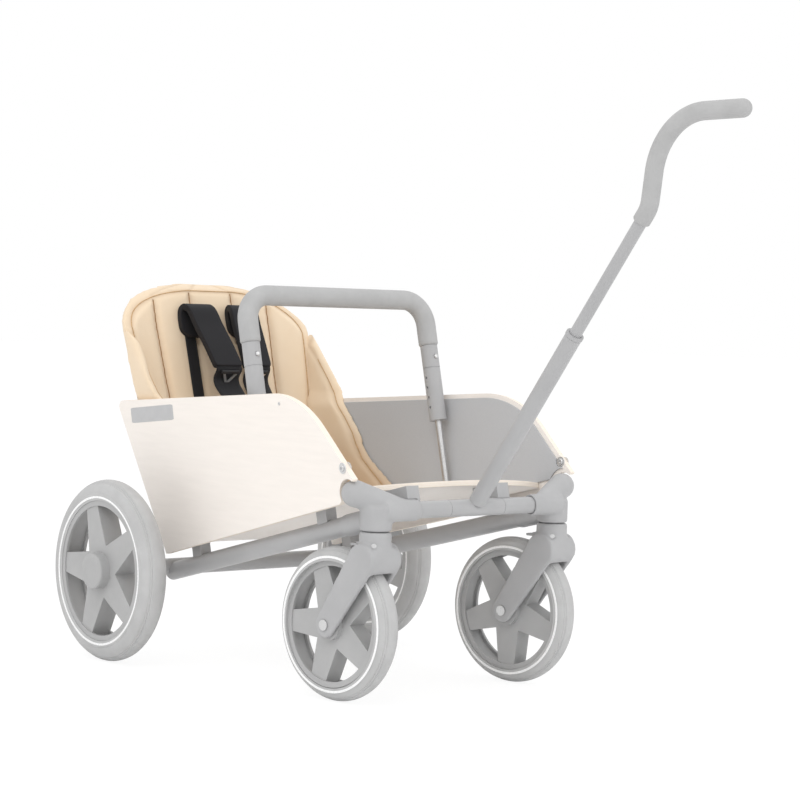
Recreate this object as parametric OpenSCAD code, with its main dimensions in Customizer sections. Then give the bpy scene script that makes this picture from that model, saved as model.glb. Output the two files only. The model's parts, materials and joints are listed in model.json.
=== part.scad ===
// Stroller wagon: a plywood box with a bucket seat on a tube frame, with fixed rear wheels, front
// casters, a telescopic pull handle and a grab bar that slides on two rods.
// Millimetres. +X points to the pull handle, +Y to the wagon's left side and +Z up. The ground is z = 0,
// and the origin lies on it under the middle of the whole part.

/* [Frame] */
// Distance from the rear axle to the front swivel axes
wheelbase = 608; // [596:1:620]
// Distance between the two front swivel axes
swivel_track = 386; // [380:1:394]
// Outside diameter of the front cross tube
cross_tube_d = 28; // [27:0.5:29]
// How far the cross tube's axis lies ahead of the swivel axes
cross_tube_ahead = 16; // [14:0.5:18]
// Height of the cross tube's axis over the swivel joint
cross_tube_rise = 33; // [31:0.5:36]
// Outside diameter of the side rails
rail_d = 32; // [30:0.5:34]
// Distance between the side rails at the rear axle
rail_rear_track = 330; // [310:1:340]
// Outside diameter of the rear axle beam
beam_d = 30; // [28:0.5:32]
// Wall of the frame's tubes
tube_wall = 2; // [1.5:0.1:2.4]
// Diameter of the rear axle shaft
axle_d = 12; // [11:0.5:13]
// Diameter of the corner joints' upright heads
head_d = 52; // [50:1:54]
// Diameter of the round boss that each side panel is notched around
boss_d = 44; // [42:1:46]

/* [Rear wheels] */
// Diameter of the rear tyres
rear_wheel_d = 320; // [314:1:326]
// Width of the rear tyres
rear_tyre_w = 50; // [48:0.5:52]
// Distance between the middles of the rear tyres
rear_track = 600; // [590:1:612]
// Diameter of the rear wheels' white ring
rear_ring_d = 259; // [256:1:262]
// Diameter of the rear wheels' hub
rear_hub_d = 64; // [60:1:68]
// Length of the rear wheels' hub
rear_hub_w = 62; // [60:0.5:64]

/* [Front wheels] */
// Diameter of the front tyres
front_wheel_d = 250; // [246:1:254]
// Width of the front tyres
front_tyre_w = 44; // [42:0.5:46]
// Diameter of the front wheels' white ring
front_ring_d = 217; // [214:1:220]
// Diameter of the front wheels' hub
front_hub_d = 52; // [48:1:54]
// Distance that each front wheel trails behind its swivel axis
caster_trail = 77; // [74:0.5:80]
// Height of the swivel joint over the top of the front tyres
crown_gap = 31; // [29:0.5:33]
// Turn of the right caster at rest, in degrees
caster_turn_right = 6; // [0:0.5:10]
// Turn of the left caster at rest, in degrees
caster_turn_left = 9; // [0:0.5:12]
// Diameter of the swivel stems
stem_d = 16; // [14:0.5:18]
// Diameter of the front axle bolts
front_axle_d = 10; // [9:0.5:11]

/* [Wheel details] */
// Number of spokes in each wheel
spoke_count = 5; // [4:1:6]
// Width of a rear wheel's spoke where it leaves the hub
rear_spoke_root_w = 58; // [54:1:62]
// Width of a front wheel's spoke where it leaves the hub
front_spoke_root_w = 50; // [46:1:54]
// Width of a spoke where it meets the rim
spoke_tip_w = 33; // [30:1:36]
// Width of the white ring
ring_w = 4; // [3:0.5:5]
// Thickness of the rim's barrel
rim_wall = 4; // [3:0.5:5]
// Outside diameter of the wheel bearings
bearing_d = 30; // [28:1:32]
// Width of the wheel bearings
bearing_w = 8; // [7:0.5:9]

/* [Floor and panels] */
// Thickness of the floor board
floor_t = 10; // [9:0.5:11]
// Height of the floor's top over the rear axle
floor_rise = 50; // [48:0.5:54]
// Distance of the floor's bowed front edge behind the swivel axes
floor_nose_back = 16; // [12:1:20]
// Radius of the bow along the floor's front edge
floor_bow_r = 480; // [440:5:520]
// How far the side panels hang under the floor's top
panel_skirt = 28.75; // [26:0.25:31]
// Distance of the side panels' lower rear corner ahead of the rear axle
floor_rear_x = 20; // [19:0.5:24]
// Half of the box's inner width at the panels' lower rear corner
box_rear_half = 183; // [178:1:186]
// Thickness of the plywood panels
panel_t = 10; // [9:0.5:11]
// Outward splay of the side panels, in degrees
panel_splay = 5.4; // [5:0.1:5.8]
// Angle in plan by which the side panels spread towards the front, in degrees
panel_toe = 3.2; // [3:0.1:3.4]
// Backward lean of the side panels' rear edge, in degrees
panel_rear_lean = 28; // [27:0.5:29]
// Height of the side panels' rear top corner over their lower one
panel_rear_h = 265; // [255:1:275]
// Rise of the side panels' top edge towards the front, in degrees
panel_top_rise = 4.5; // [3.5:0.1:5.5]
// Distance from the swivel axes back to the end of the panels' straight top
panel_top_back = 243; // [233:1:253]
// Radius of the side panels' large front corner
panel_corner_r = 190; // [180:1:200]
// Fall of the side panels' front edge, in degrees
panel_nose_fall = 42.5; // [41:0.5:44]
// Radius of the side panels' rear top corner
panel_small_r = 12; // [8:1:16]
// Distance of the felt's edge from the panel's edge
felt_inset = 8; // [6:0.5:12]
// Thickness of the felt lining
felt_t = 3; // [2:0.5:4]

/* [Pull handle] */
// Elevation of the pull handle at rest, in degrees
handle_rise = 52.2; // [50:0.1:55]
// Half of the length of the handle's hub on the cross tube
hub_half = 58; // [54:1:62]
// Outside diameter of the handle's lower tube
lower_tube_d = 28; // [27:0.5:30]
// Length of the lower tube from the pivot to its top
lower_tube_l = 360; // [352:1:370]
// Outside diameter of the handle's upper tube
upper_tube_d = 20; // [19:0.5:21]
// Distance from the pivot to the lower end of the grip
grip_start = 584; // [576:1:596]
// Length of the upper tube that stays inside the lower one
upper_overlap = 130; // [122:1:136]
// Diameter of the grip
grip_d = 28; // [27:0.5:30]
// Straight length at the lower end of the grip
grip_foot_l = 15; // [14:0.5:20]
// Bend by which the grip rises from the tube, in degrees
grip_lift = 30; // [28:0.5:32]
// Radius of the grip's lower bend
grip_lift_r = 43; // [40:1:48]
// Length of the grip's middle run
grip_middle_l = 42; // [38:1:48]
// Radius of the grip's upper bend
grip_top_r = 100; // [95:1:106]
// Length of the grip's level end
grip_end_l = 72; // [66:1:80]

/* [Grab bar] */
// Distance along the floor from the rear axle to the grab bar
bar_x = 344.5; // [338:0.5:352]
// Height of the bar's middle line over the floor
bar_h = 370; // [362:1:380]
// Outside diameter of the bar's tube
bar_tube_d = 25; // [24:0.5:26]
// Outside diameter of the bar's foam
foam_d = 35; // [33:0.5:37]
// Height over the floor at which the foam ends
foam_end_h = 286; // [282:1:292]
// Radius of the bar's two bends
bar_bend_r = 46; // [42:1:50]
// Outside diameter of the leg sleeves
sleeve_d = 31; // [30:0.5:32]
// Height over the floor of the leg sleeves' lower end
sleeve_low_h = 149; // [144:1:154]
// Height over the floor of the seam around each sleeve
sleeve_seam_h = 245; // [240:1:250]
// Height over the floor of the snap buttons
button_h = 264; // [261:1:267]
// Diameter of the snap buttons
button_d = 8; // [7:0.5:9]
// Travel of a snap button
button_travel = 3; // [2.5:0.1:3]
// Diameter of the steel rods that carry the bar
rod_d = 12; // [11:0.5:12.5]
// Height over the floor of the rods' top
rod_h = 197; // [192:1:202]

/* [Seat] */
// Height of the seat back's top over the ground
seat_top_z = 672; // [664:1:680]
// Height over the ground at which the seat back is widest
seat_wide_z = 585; // [578:1:592]
// Lean of the seat back above the rear panel, in degrees
seat_lean = 17; // [15:0.5:19]
// Thickness of the seat back
seat_back_t = 26; // [24:0.5:30]
// How far the seat back's sides come forward
seat_wrap = 27; // [22:1:30]
// Thickness of the side wings
wing_t = 18; // [16:0.5:20]
// Thickness of the seat base
seat_base_t = 38; // [34:1:42]
// Distance along the floor from the rear axle to the front of the seat base
seat_base_front = 275; // [265:1:285]
// Width of a shoulder pad
pad_w = 60; // [56:1:64]
// Distance between the middles of the shoulder pads
pad_track = 78; // [74:1:84]
// Width of the harness webbing
web_w = 22; // [20:1:24]

/* [Hidden] */
$fn = 48;
right = -1;
left = 1;
overrun = 1;           // how far cuts run past a face
fit = 0.2;             // gap between pieces of one body
run_gap = 0.3;         // gap between pieces that move on each other

// Heights and places of the frame
rear_axle_z = rear_wheel_d / 2;
joint_z = front_wheel_d + crown_gap;
swivel_y = swivel_track / 2;
cross_x = wheelbase + cross_tube_ahead;
cross_z = joint_z + cross_tube_rise;
front_clip_h = 26;     // gap between the cross tube's top and the floor's underside
rail_clip_h = 31;      // gap between the rails and the floor's underside
floor_rear_z = rear_axle_z + floor_rise;
floor_front_z = cross_z + cross_tube_d / 2 + front_clip_h + floor_t;
floor_slope = atan2(floor_front_z - floor_rear_z, cross_x);
function floor_z(x) = floor_rear_z + x * tan(floor_slope);

// Corner joints
socket_wall = 4;       // wall around the cross tube
socket_reach = 70;     // length of the tube socket, from the swivel axis
tube_stop = 12;        // distance from the swivel axis to the cross tube's end
rail_socket_wall = 2.5;
rail_socket_reach = 76;
rail_stop = 30;        // distance from the swivel axis to the rail's front end
head_top_rise = 8;     // height of the head's top over the cross tube's axis
boss_back = 14;        // distance of the boss behind the swivel axis
boss_rise = 60;        // height of the boss's axis over the swivel joint
boss_out = 33;         // distance of the boss outboard of the swivel axis
arm_in = 42;           // how far the boss's arm starts inboard of the swivel axis
rail_drop = (floor_t + rail_clip_h + rail_d / 2) / cos(floor_slope);
rail_y_slope = (swivel_y - rail_rear_track / 2) / wheelbase;
function rail_point(x) = [x, rail_rear_track / 2 + x * rail_y_slope, floor_z(x) - rail_drop];

// The rear beam, its shaft and the rear hubs
hub_side_gap = 1;      // gap between the beam's end and the wheel's hub
beam_half = rear_track / 2 - rear_hub_w / 2 - hub_side_gap;
shaft_stand = 4;       // how far the shaft stands out of the hub
cap_t = 8;             // thickness of the hub caps
cap_wall = 2;
shaft_half = rear_track / 2 + rear_hub_w / 2 + shaft_stand;

// Wheels
tyre_seat = 6;         // the tyre's bore lies this far inside the white ring
ring_t = 1.6;
ring_proud = 0.4;
rim_inset = 4;         // the rim's edges lie this far inside the tyre's faces
rim_lip = 9;           // depth of the lips along the rim's edges
rim_lip_w = 5;
spoke_inset = 2;       // the spokes lie this far inside the rim's edges
hub_bore_gap = 2;      // gap between an axle and the hub's bore
tyre_gap = 3;          // gap between the front tyre and the fork's legs
hub_play = 0.4;        // gap between the front hub and the fork's legs
fork_gap = front_tyre_w + 2 * tyre_gap;
front_hub_w = fork_gap - 2 * hub_play;
function tyre_bore_r(ring_d) = ring_d / 2 - tyre_seat;
function ring_face(d, w, ring_d) = sqrt(pow(w / 2, 2) - pow((ring_d - d + w) / 2, 2));

// Caster forks
crown_h = 62;          // height of the fork's head
fork_leg_t = 9;
fork_top_r = 28;       // radius of a leg's top
fork_foot_r = 21;      // radius of a leg's foot
fork_top_drop = 46;    // a leg's top lies this far under the swivel joint
joint_gap = 0.5;       // gap at the swivel joint
stem_in_fork = 26;
stem_in_head = 34;
bolt_head_h = 3;
axle_head_d = 18;
screw_d = 9;
screw_h = 2;
screw_turn = 50;       // each screw's turn from the front of the head, in degrees
screw_drop = 22;       // the screws lie this far under the swivel joint
screw_seat = 2.5;      // and their flat seats this far inside the head's face
lock_drop = 24;        // the swivel lock's pin lies this far under the swivel joint
lock_out = 5;          // and this far behind the head
lock_barrel_d = 7;
lock_pin_d = 4;
lock_w = 14;
lock_l = 18;
lock_t = 4;
lug_w = 24;
lug_h = 13;

// Box
panel_run_ahead = 32;  // the panel's blank reaches this far past the swivel axes
panel_run = wheelbase + panel_run_ahead;
panel_top_end = wheelbase - panel_top_back;
panel_base_drop = 40;  // and this far under its lower corner, before both are cut
box_rear_z = floor_z(floor_rear_x) - panel_skirt;
function inner_y(x, z) = box_rear_half + tan(panel_toe) * (x - floor_rear_x)
    + tan(panel_splay) / cos(panel_toe) * (z - box_rear_z);
function rear_edge_x(z) = floor_rear_x - tan(panel_rear_lean) * (z - box_rear_z);
floor_nose_x = wheelbase - floor_nose_back;
floor_back_x = floor_rear_x
    - panel_skirt * tan(panel_rear_lean) / (1 + tan(panel_rear_lean) * tan(floor_slope));
rear_panel_gap = 0.6;
rear_panel_drop = 6;   // the rear panel's top lies this far under the side panels' corners
rear_panel_z = box_rear_z + panel_rear_h * cos(panel_splay) - rear_panel_drop;
nose_stop = 5;         // the panel's tip ends this far short of the boss's axis
notch_gap = 1;         // gap between the panel's notch and the boss
bolt_d = 8;
bolt_washer_d = 18;
bolt_back = 43;        // the front panel bolt's distance from the end of the wheelbase, and its height
bolt_u = wheelbase - bolt_back;
bolt_v = 196;
stud_ahead = 27;       // place of the small screw near the panel's top edge
stud_drop = 15;
stud_u = panel_top_end + stud_ahead;
stud_d = 6;
stud_h = 1;
clip_l = 26;
clip_w = 22;
clip_lap = 6;          // how far the clips reach down around the tubes
clip_shares = [0.15, 0.81];
front_clip_l = 60;
front_clip_w = 26;
front_clip_back = 6;   // the front clips end this far behind the cross tube's axis
front_clip_places = [-130, 64];

// Pull handle
pivot_d = cross_tube_d - 2 * tube_wall - 2 * fit;
pivot_grip = 40;       // length of the pivot shaft inside each cross tube
lower_tube_wall = 2.5;
hub_floor = 18;        // the lower tube's bore starts this far from the pivot
collar_l = 25;
collar_lip_h = 6;
collar_lip = 0.8;      // how far the collar stands out over the lower tube
collar_lip_d = lower_tube_d + 2 * collar_lip;
grip_bore_l = 14;
grip_low_rings = 6;
grip_high_rings = 16;
grip_sides = 32;
grip_sink = 2;         // how far the grip's bend runs into its level end
grip_angle = handle_rise + grip_lift;
tip_x = cross_x + cos(handle_rise) * (grip_start + grip_foot_l)
    + grip_lift_r * (sin(grip_angle) - sin(handle_rise)) + cos(grip_angle) * grip_middle_l
    + grip_top_r * sin(grip_angle) + grip_end_l + grip_d / 2;

// Grab bar
bar_wall = 1.5;
rod_side_gap = 3;      // gap between the rods and the felt
bar_foot_x = bar_x * cos(floor_slope);
bar_y = inner_y(bar_foot_x, floor_z(bar_foot_x)) - felt_t - rod_side_gap - rod_d / 2;
sleeve_cap = 14;       // length of the guide at a sleeve's lower end
seam_w = 1.5;
seam_depth = 0.8;
hole_count = 4;        // adjusting holes in the inner side of each sleeve
hole_d = 5;
hole_pitch = 18;
socket_d = 26;         // floor sockets of the rods
socket_h = 10;
button_stand = 3.4;    // how far a button stands out of its sleeve
button_flange_d = 10;
button_flange_t = 1;

// Seat
seat_gap = 0.5;
seat_edge_t = 10;      // thickness of the seat back along its edge
seat_channel = 7;      // depth of the sewn channels
seat_top_power = 0.8;
seat_lower_rows = 12;
seat_upper_rows = 8;
seat_upper_turn = 80;
seat_col_shares = [0, 0.1, 0.19, 0.23, 0.27, 0.4, 0.57, 0.62, 0.67, 0.8, 0.9, 0.96, 1];
seat_seam_shares = [0.23, 0.62];
seat_seam_limit_shares = [0.35, 0.85]; // near the top, the seams keep within these shares of the width
seat_seam_tolerance = 0.002;
seat_round_share = 0.12;
seat_side_round_share = 0.3;
wing_edge_t = 6;
wing_back_gap = 4;     // gap between a wing and the seat back's edge
wing_rows = 18;
wing_cols = 8;
wing_low_v = 44;       // height in the panel where the wing's bottom tip starts
wing_top_v = 375;      // height in the panel of the wing's top
// Front edge of a wing: height in the panel, then place along it
wing_edge = [[40, 225], [70, 196], [96, 165], [127, 125], [169, 63], [194, 41], [257, -4], [317, -47],
    [350, -75], [wing_top_v, -105]];
base_rows = 12;
base_cols = 16;
base_edge_t = 16;
base_back_gap = 8;
pad_t = 14;
pad_drop = 118;        // height of a shoulder pad
pad_fold = 54;         // how far a pad's folded top hangs down behind it
pad_loop = 34;         // how far a pad's loop stands ahead of the seat back
pad_foot_out = 80;     // how far a pad's lower end hangs ahead of the seat back
pad_lift = 4;          // where a pad turns over, its rear comes within this of its top
pad_turn = 8;          // and its front within this
pad_rest = 14;         // from here down, the rear fold lies on the seat back
pad_top_drop = 34;     // a pad's top lies this far under the seat's top
pad_top_z = seat_top_z - pad_top_drop;
web_t = 2;
web_rows = 5;
web_end_y = 15;        // distance of a strap's lower end from the middle
adjuster_w = 34;
adjuster_l = 22;
adjuster_t = 6;
buckle_d = 46;
buckle_t = 16;

// The part's origin lies in the middle of its length
rear_reach = max(rear_wheel_d / 2, -seat_rear_x(seat_top_z));
centre_x = (tip_x - rear_reach) / 2;

// Points of an arc around a centre, from one angle to another
function arc(centre, r, from, to, n = 12) =
    [for (i = [0 : n]) centre + r * [cos(from + (to - from) * i / n), sin(from + (to - from) * i / n)]];

// Outline of a side panel in its own plane, along the panel and up it, before its lower edge is cut
panel_rear_u = -tan(panel_rear_lean) * panel_rear_h;
panel_top_v = panel_rear_h + tan(panel_top_rise) * (panel_top_end - panel_rear_u);
stud_v = panel_top_v - stud_drop;
panel_arc_c = [panel_top_end + panel_corner_r * sin(panel_top_rise),
    panel_top_v - panel_corner_r * cos(panel_top_rise)];
panel_arc_end = panel_arc_c + panel_corner_r * [sin(panel_nose_fall), cos(panel_nose_fall)];
panel_rear_turn = 90 + panel_rear_lean - panel_top_rise;
panel_small_c = [panel_rear_u, panel_rear_h] + panel_small_r / sin(panel_rear_turn / 2)
    * [sin((panel_rear_lean + panel_top_rise + 90) / 2), -cos((panel_rear_lean + panel_top_rise + 90) / 2)];
panel_outline = concat(
    [[tan(panel_rear_lean) * panel_base_drop, -panel_base_drop]],
    arc(panel_small_c, panel_small_r, 180 + panel_rear_lean, 90 + panel_top_rise, 6),
    arc(panel_arc_c, panel_corner_r, 90 + panel_top_rise, 90 - panel_nose_fall),
    [[panel_run, panel_arc_end[1] - (panel_run - panel_arc_end[0]) * tan(panel_nose_fall)],
     [panel_run, -panel_base_drop]]);

// Places and helpers

// Moves a piece from the rear axle's frame to the part's own origin
module place() {
    translate([-centre_x, 0, 0]) children();
}

// Draws its children for the left side, or mirrored for the right
module on_side(side) {
    if (side == left) children();
    else mirror([0, 1, 0]) children();
}

// Frame on the floor's top: x runs up the floor, z stands on it
module on_floor() {
    translate([0, 0, floor_rear_z]) rotate([0, -floor_slope, 0]) children();
}

// Frame of the left side panel: x along it, z up it, y outwards from its inner face
module on_panel() {
    translate([floor_rear_x, box_rear_half, box_rear_z]) rotate([0, 0, panel_toe])
        rotate([-panel_splay, 0, 0]) children();
}

// A sheet in the panel's plane, from one depth to another
module panel_sheet(from, to) {
    translate([0, to, 0]) rotate([90, 0, 0]) linear_extrude(height = to - from) children();
}

// Everything under the floor's top, or under a plane that lies below it
module under_floor(drop = 0) {
    on_floor() translate([-panel_run, -panel_run, -panel_run - drop])
        cube([3 * panel_run, 2 * panel_run, panel_run]);
}

// A round bar between two points
module rod(a, b, d) {
    v = b - a;
    translate(a) rotate([0, acos(v[2] / norm(v)), atan2(v[1], v[0])]) cylinder(h = norm(v), d = d);
}

// A round bar along y
module cross_rod(x, z, from, to, d) {
    translate([x, to, z]) rotate([90, 0, 0]) cylinder(h = to - from, d = d);
}

// Straight run of a bent tube, with what follows at its end
module run(l, d) {
    cylinder(h = l, d = d);
    translate([0, 0, l]) children();
}

// Bend of a tube towards local +x, with what follows at its end
module turn(r, a, d) {
    translate([r, 0, 0]) rotate([90, 0, 0]) rotate([0, 0, 180 - a]) rotate_extrude(angle = a)
        translate([r, 0]) circle(d = d);
    translate([r - r * cos(a), 0, r * sin(a)]) rotate([0, a, 0]) children();
}

// Closed skin over two grids of points, front and back, with rows and columns alike
module grid_solid(front, back) {
    rows = len(front);
    cols = len(front[0]);
    size = rows * cols;
    points = concat([for (r = front) each r], [for (r = back) each r]);
    function at(i, j) = i * cols + j;
    sheet = [for (i = [0 : rows - 2], j = [0 : cols - 2])
        each [[at(i, j), at(i, j + 1), at(i + 1, j + 1)], [at(i, j), at(i + 1, j + 1), at(i + 1, j)]]];
    under = [for (f = sheet) [f[2] + size, f[1] + size, f[0] + size]];
    ring = concat([for (j = [0 : cols - 2]) at(0, j)], [for (i = [0 : rows - 2]) at(i, cols - 1)],
        [for (j = [cols - 1 : -1 : 1]) at(rows - 1, j)], [for (i = [rows - 1 : -1 : 1]) at(i, 0)]);
    rim = [for (k = [0 : len(ring) - 1])
        let (a = ring[k], b = ring[(k + 1) % len(ring)]) each [[b, a, a + size], [b, a + size, b + size]]];
    polyhedron(points, concat(sheet, under, rim));
}

// Flat strap of one width along points, level from side to side
module strap(path, w, t) {
    n = len(path);
    dirs = [for (i = [0 : n - 1])
        let (v = path[min(i + 1, n - 1)] - path[max(i - 1, 0)], l = norm([v[0], v[2]]))
        [v[0] / l, v[2] / l]];
    grid = [for (side = [-1, 1]) [for (i = [0 : n - 1])
        let (x = path[i][0] + side * t / 2 * dirs[i][1], z = path[i][2] - side * t / 2 * dirs[i][0])
        [[x, path[i][1] - w / 2, z], [x, path[i][1] + w / 2, z]]]];
    grid_solid(grid[0], grid[1]);
}

// Rise of a rounded edge: 0 at the edge, 1 from one share of the way in
function edge_round(share_in, round_share) =
    let (e = min(1, max(0, share_in / round_share))) sqrt(1 - pow(1 - e, 2));

// Frame pieces

module front_tube(side) {
    color("#b4b4b4") on_side(side) difference() {
        cross_rod(cross_x, cross_z, hub_half + run_gap, swivel_y - tube_stop, cross_tube_d);
        cross_rod(cross_x, cross_z, hub_half - overrun, hub_half + pivot_grip + fit, pivot_d + 2 * fit);
    }
}

module handle_pivot_shaft() {
    color("#9a9a9a")
        cross_rod(cross_x, cross_z, -hub_half - pivot_grip, hub_half + pivot_grip, pivot_d);
}

module corner_joint(side) {
    boss_x = wheelbase - boss_back;
    boss_z = joint_z + boss_rise;
    boss_end = swivel_y + boss_out;
    head_top = cross_z + head_top_rise;
    socket_d_out = cross_tube_d + 2 * socket_wall;
    color("#b0b0b0") on_side(side) difference() {
        union() {
            translate([wheelbase, swivel_y, joint_z + joint_gap / 2])
                cylinder(h = head_top - joint_z - joint_gap / 2, d = head_d);
            cross_rod(cross_x, cross_z, swivel_y - socket_reach, swivel_y, socket_d_out);
            rod(rail_point(wheelbase - rail_socket_reach), rail_point(wheelbase),
                rail_d + 2 * rail_socket_wall);
            translate([boss_x, boss_end, boss_z]) sphere(d = boss_d);
            hull() {
                translate([cross_x, swivel_y - arm_in, cross_z]) sphere(d = socket_d_out, $fn = 32);
                translate([boss_x, boss_end, boss_z]) sphere(d = boss_d - fit, $fn = 32);
            }
        }
        cross_rod(cross_x, cross_z, swivel_y - socket_reach - overrun, swivel_y - tube_stop + fit,
            cross_tube_d + 2 * fit);
        rod(rail_point(wheelbase - rail_socket_reach - overrun), rail_point(wheelbase - rail_stop + fit),
            rail_d + 2 * fit);
        translate([wheelbase, swivel_y, joint_z - head_d])
            cylinder(h = head_d + joint_gap / 2, d = head_d + 2 * run_gap);
        translate([wheelbase, swivel_y, joint_z - overrun])
            cylinder(h = stem_in_head + run_gap + overrun, d = stem_d + 2 * run_gap);
    }
}

module side_rail(side) {
    color("#aeaeae") on_side(side) difference() {
        rod(rail_point(0), rail_point(wheelbase - rail_stop), rail_d);
        rod(rail_point(-rail_d), rail_point(wheelbase - rail_stop - tube_wall), rail_d - 2 * tube_wall);
        cross_rod(0, rear_axle_z, 0, beam_half, beam_d + 2 * fit);
        translate([-beam_d, 0, 0]) cube([beam_d, beam_half, rear_axle_z]);
    }
}

module rear_axle_beam() {
    color("#a8a8a8") difference() {
        cross_rod(0, rear_axle_z, -beam_half, beam_half, beam_d);
        cross_rod(0, rear_axle_z, -beam_half - overrun, beam_half + overrun, axle_d + 2 * fit);
    }
}

module rear_axle_shaft() {
    color("#d0d0d0") cross_rod(0, rear_axle_z, -shaft_half, shaft_half, axle_d);
}

// Saddles between the rails and the floor, and two clips between the cross tube and the floor
module floor_clips() {
    saddle_h = rail_clip_h + clip_lap;
    front_h = front_clip_h + clip_lap;
    front_end = (cross_x - front_clip_back) / cos(floor_slope);
    color("#a2a2a2") {
        for (side = [right, left], share = clip_shares) on_side(side) difference() {
            on_floor() translate([share * floor_nose_x - clip_l / 2,
                rail_point(share * floor_nose_x)[1] - clip_w / 2, -floor_t - saddle_h])
                cube([clip_l, clip_w, saddle_h]);
            rod(rail_point(0), rail_point(wheelbase), rail_d + 2 * fit);
        }
        for (y = front_clip_places) difference() {
            on_floor() translate([front_end - front_clip_l, y - front_clip_w / 2, -floor_t - front_h])
                cube([front_clip_l, front_clip_w, front_h]);
            cross_rod(cross_x, cross_z, -swivel_y, swivel_y, cross_tube_d + 2 * run_gap);
            for (side = [right, left]) on_side(side)
                cross_rod(cross_x, cross_z, swivel_y - socket_reach - fit, swivel_y,
                    cross_tube_d + 2 * socket_wall + 2 * fit);
        }
    }
}

// Box pieces

// Half width of the floor, which lies between the side panels
function floor_edge(x) = inner_y(x, floor_z(x) - floor_t / cos(floor_slope)) - fit;

module floor_panel() {
    nose = floor_nose_x / cos(floor_slope);
    rear = floor_back_x / cos(floor_slope);
    color("#f1e6d6") on_floor() translate([0, 0, -floor_t]) linear_extrude(height = floor_t) intersection() {
        polygon([[rear, -floor_edge(floor_back_x)], [nose, -floor_edge(floor_nose_x)],
            [nose, floor_edge(floor_nose_x)], [rear, floor_edge(floor_back_x)]]);
        translate([nose - floor_bow_r, 0]) circle(r = floor_bow_r, $fn = 96);
    }
}

// Everything ahead of the boss, past a distance along the panels' front edge
module nose_cut(past) {
    translate([wheelbase - boss_back, 0, joint_z + boss_rise]) rotate([0, panel_nose_fall, 0])
        translate([past, 0, -panel_run]) cube([panel_run, swivel_track, 2 * panel_run]);
}

module side_panel(side) {
    boss_x = wheelbase - boss_back;
    boss_z = joint_z + boss_rise;
    color("#f8f1e6") on_side(side) difference() {
        on_panel() panel_sheet(0, panel_t) polygon(panel_outline);
        under_floor(panel_skirt * cos(floor_slope));
        cross_rod(boss_x, boss_z, 0, swivel_track, boss_d + 2 * notch_gap);
        nose_cut(-nose_stop);
        on_panel() translate([bolt_u, panel_t + overrun, bolt_v]) rotate([90, 0, 0])
            cylinder(h = panel_t + 2 * overrun, d = bolt_d + 2 * fit);
        on_panel() translate([stud_u, panel_t + overrun, stud_v]) rotate([90, 0, 0])
            cylinder(h = panel_t / 2 + overrun, d = stud_d / 2 + 2 * fit);
    }
}

module rear_panel() {
    foot_z = box_rear_z - panel_base_drop;
    slant = (rear_panel_z - foot_z) / cos(panel_rear_lean);
    low = inner_y(rear_edge_x(foot_z), foot_z) - rear_panel_gap;
    high = inner_y(rear_edge_x(rear_panel_z), rear_panel_z) - rear_panel_gap;
    color("#f4ecdf") difference() {
        translate([rear_edge_x(foot_z), 0, foot_z]) rotate([0, -panel_rear_lean, 0]) rotate([90, 0, 90])
            linear_extrude(height = panel_t) polygon([[-low, 0], [low, 0], [high, slant], [-high, slant]]);
        under_floor();
    }
}

module felt_liner(side) {
    color("#a6a6a6") on_side(side) difference() {
        on_panel() panel_sheet(-felt_t, 0) offset(delta = -felt_inset) polygon(panel_outline);
        under_floor();
        cross_rod(wheelbase - boss_back, joint_z + boss_rise, 0, swivel_track, boss_d + 2 * felt_inset);
        nose_cut(-nose_stop - felt_inset);
        rear_panel_cut();
        on_panel() translate([bolt_u, panel_t, bolt_v]) rotate([90, 0, 0])
            cylinder(h = 2 * panel_t, d = bolt_washer_d + 2 * fit);
    }
}

// Everything behind the rear panel's front face
module rear_panel_cut() {
    translate([rear_edge_x(box_rear_z), -panel_run, box_rear_z]) rotate([0, -panel_rear_lean, 0])
        translate([panel_t + fit - panel_run, 0, -panel_run]) cube([panel_run, 2 * panel_run, 2 * panel_run]);
}

module panel_bolts() {
    color("#c8c8c8") for (side = [right, left]) on_side(side) on_panel() {
        translate([bolt_u, panel_t + bolt_head_h, bolt_v]) rotate([90, 0, 0]) {
            cylinder(h = bolt_head_h, d = bolt_washer_d);
            cylinder(h = panel_t + 2 * bolt_head_h, d = bolt_d);
            translate([0, 0, panel_t + bolt_head_h]) cylinder(h = bolt_head_h, d = bolt_washer_d);
        }
        translate([stud_u, panel_t + stud_h, stud_v]) rotate([90, 0, 0]) {
            cylinder(h = stud_h, d = stud_d);
            cylinder(h = panel_t / 2, d = stud_d / 2);
        }
    }
}

// Wheels, each drawn around z with its outer face at +z

module at_rear_wheel(side) {
    translate([0, side * rear_track / 2, rear_axle_z]) rotate([-90 * side, 0, 0]) children();
}

module at_caster(side) {
    translate([wheelbase, side * swivel_y, 0])
        rotate([0, 0, side == left ? caster_turn_left : caster_turn_right]) children();
}

module at_front_wheel(side) {
    at_caster(side) translate([-caster_trail, 0, front_wheel_d / 2]) rotate([-90 * side, 0, 0]) children();
}

module wheel_rings(d, w, ring_d, extra = 0) {
    face = ring_face(d, w, ring_d);
    for (flip = [0, 1]) mirror([0, 0, flip]) translate([0, 0, face + ring_proud - ring_t - extra])
        difference() {
            cylinder(h = ring_t + 2 * extra, d = ring_d + ring_w + 2 * extra);
            translate([0, 0, -overrun])
                cylinder(h = ring_t + 2 * extra + 2 * overrun, d = ring_d - ring_w - 2 * extra);
        }
}

module wheel_tyre(d, w, ring_d) {
    difference() {
        rotate_extrude() difference() {
            translate([(d - w) / 2, 0]) circle(d = w);
            translate([0, -w]) square([tyre_bore_r(ring_d), 2 * w]);
        }
        wheel_rings(d, w, ring_d, fit);
    }
}

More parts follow.
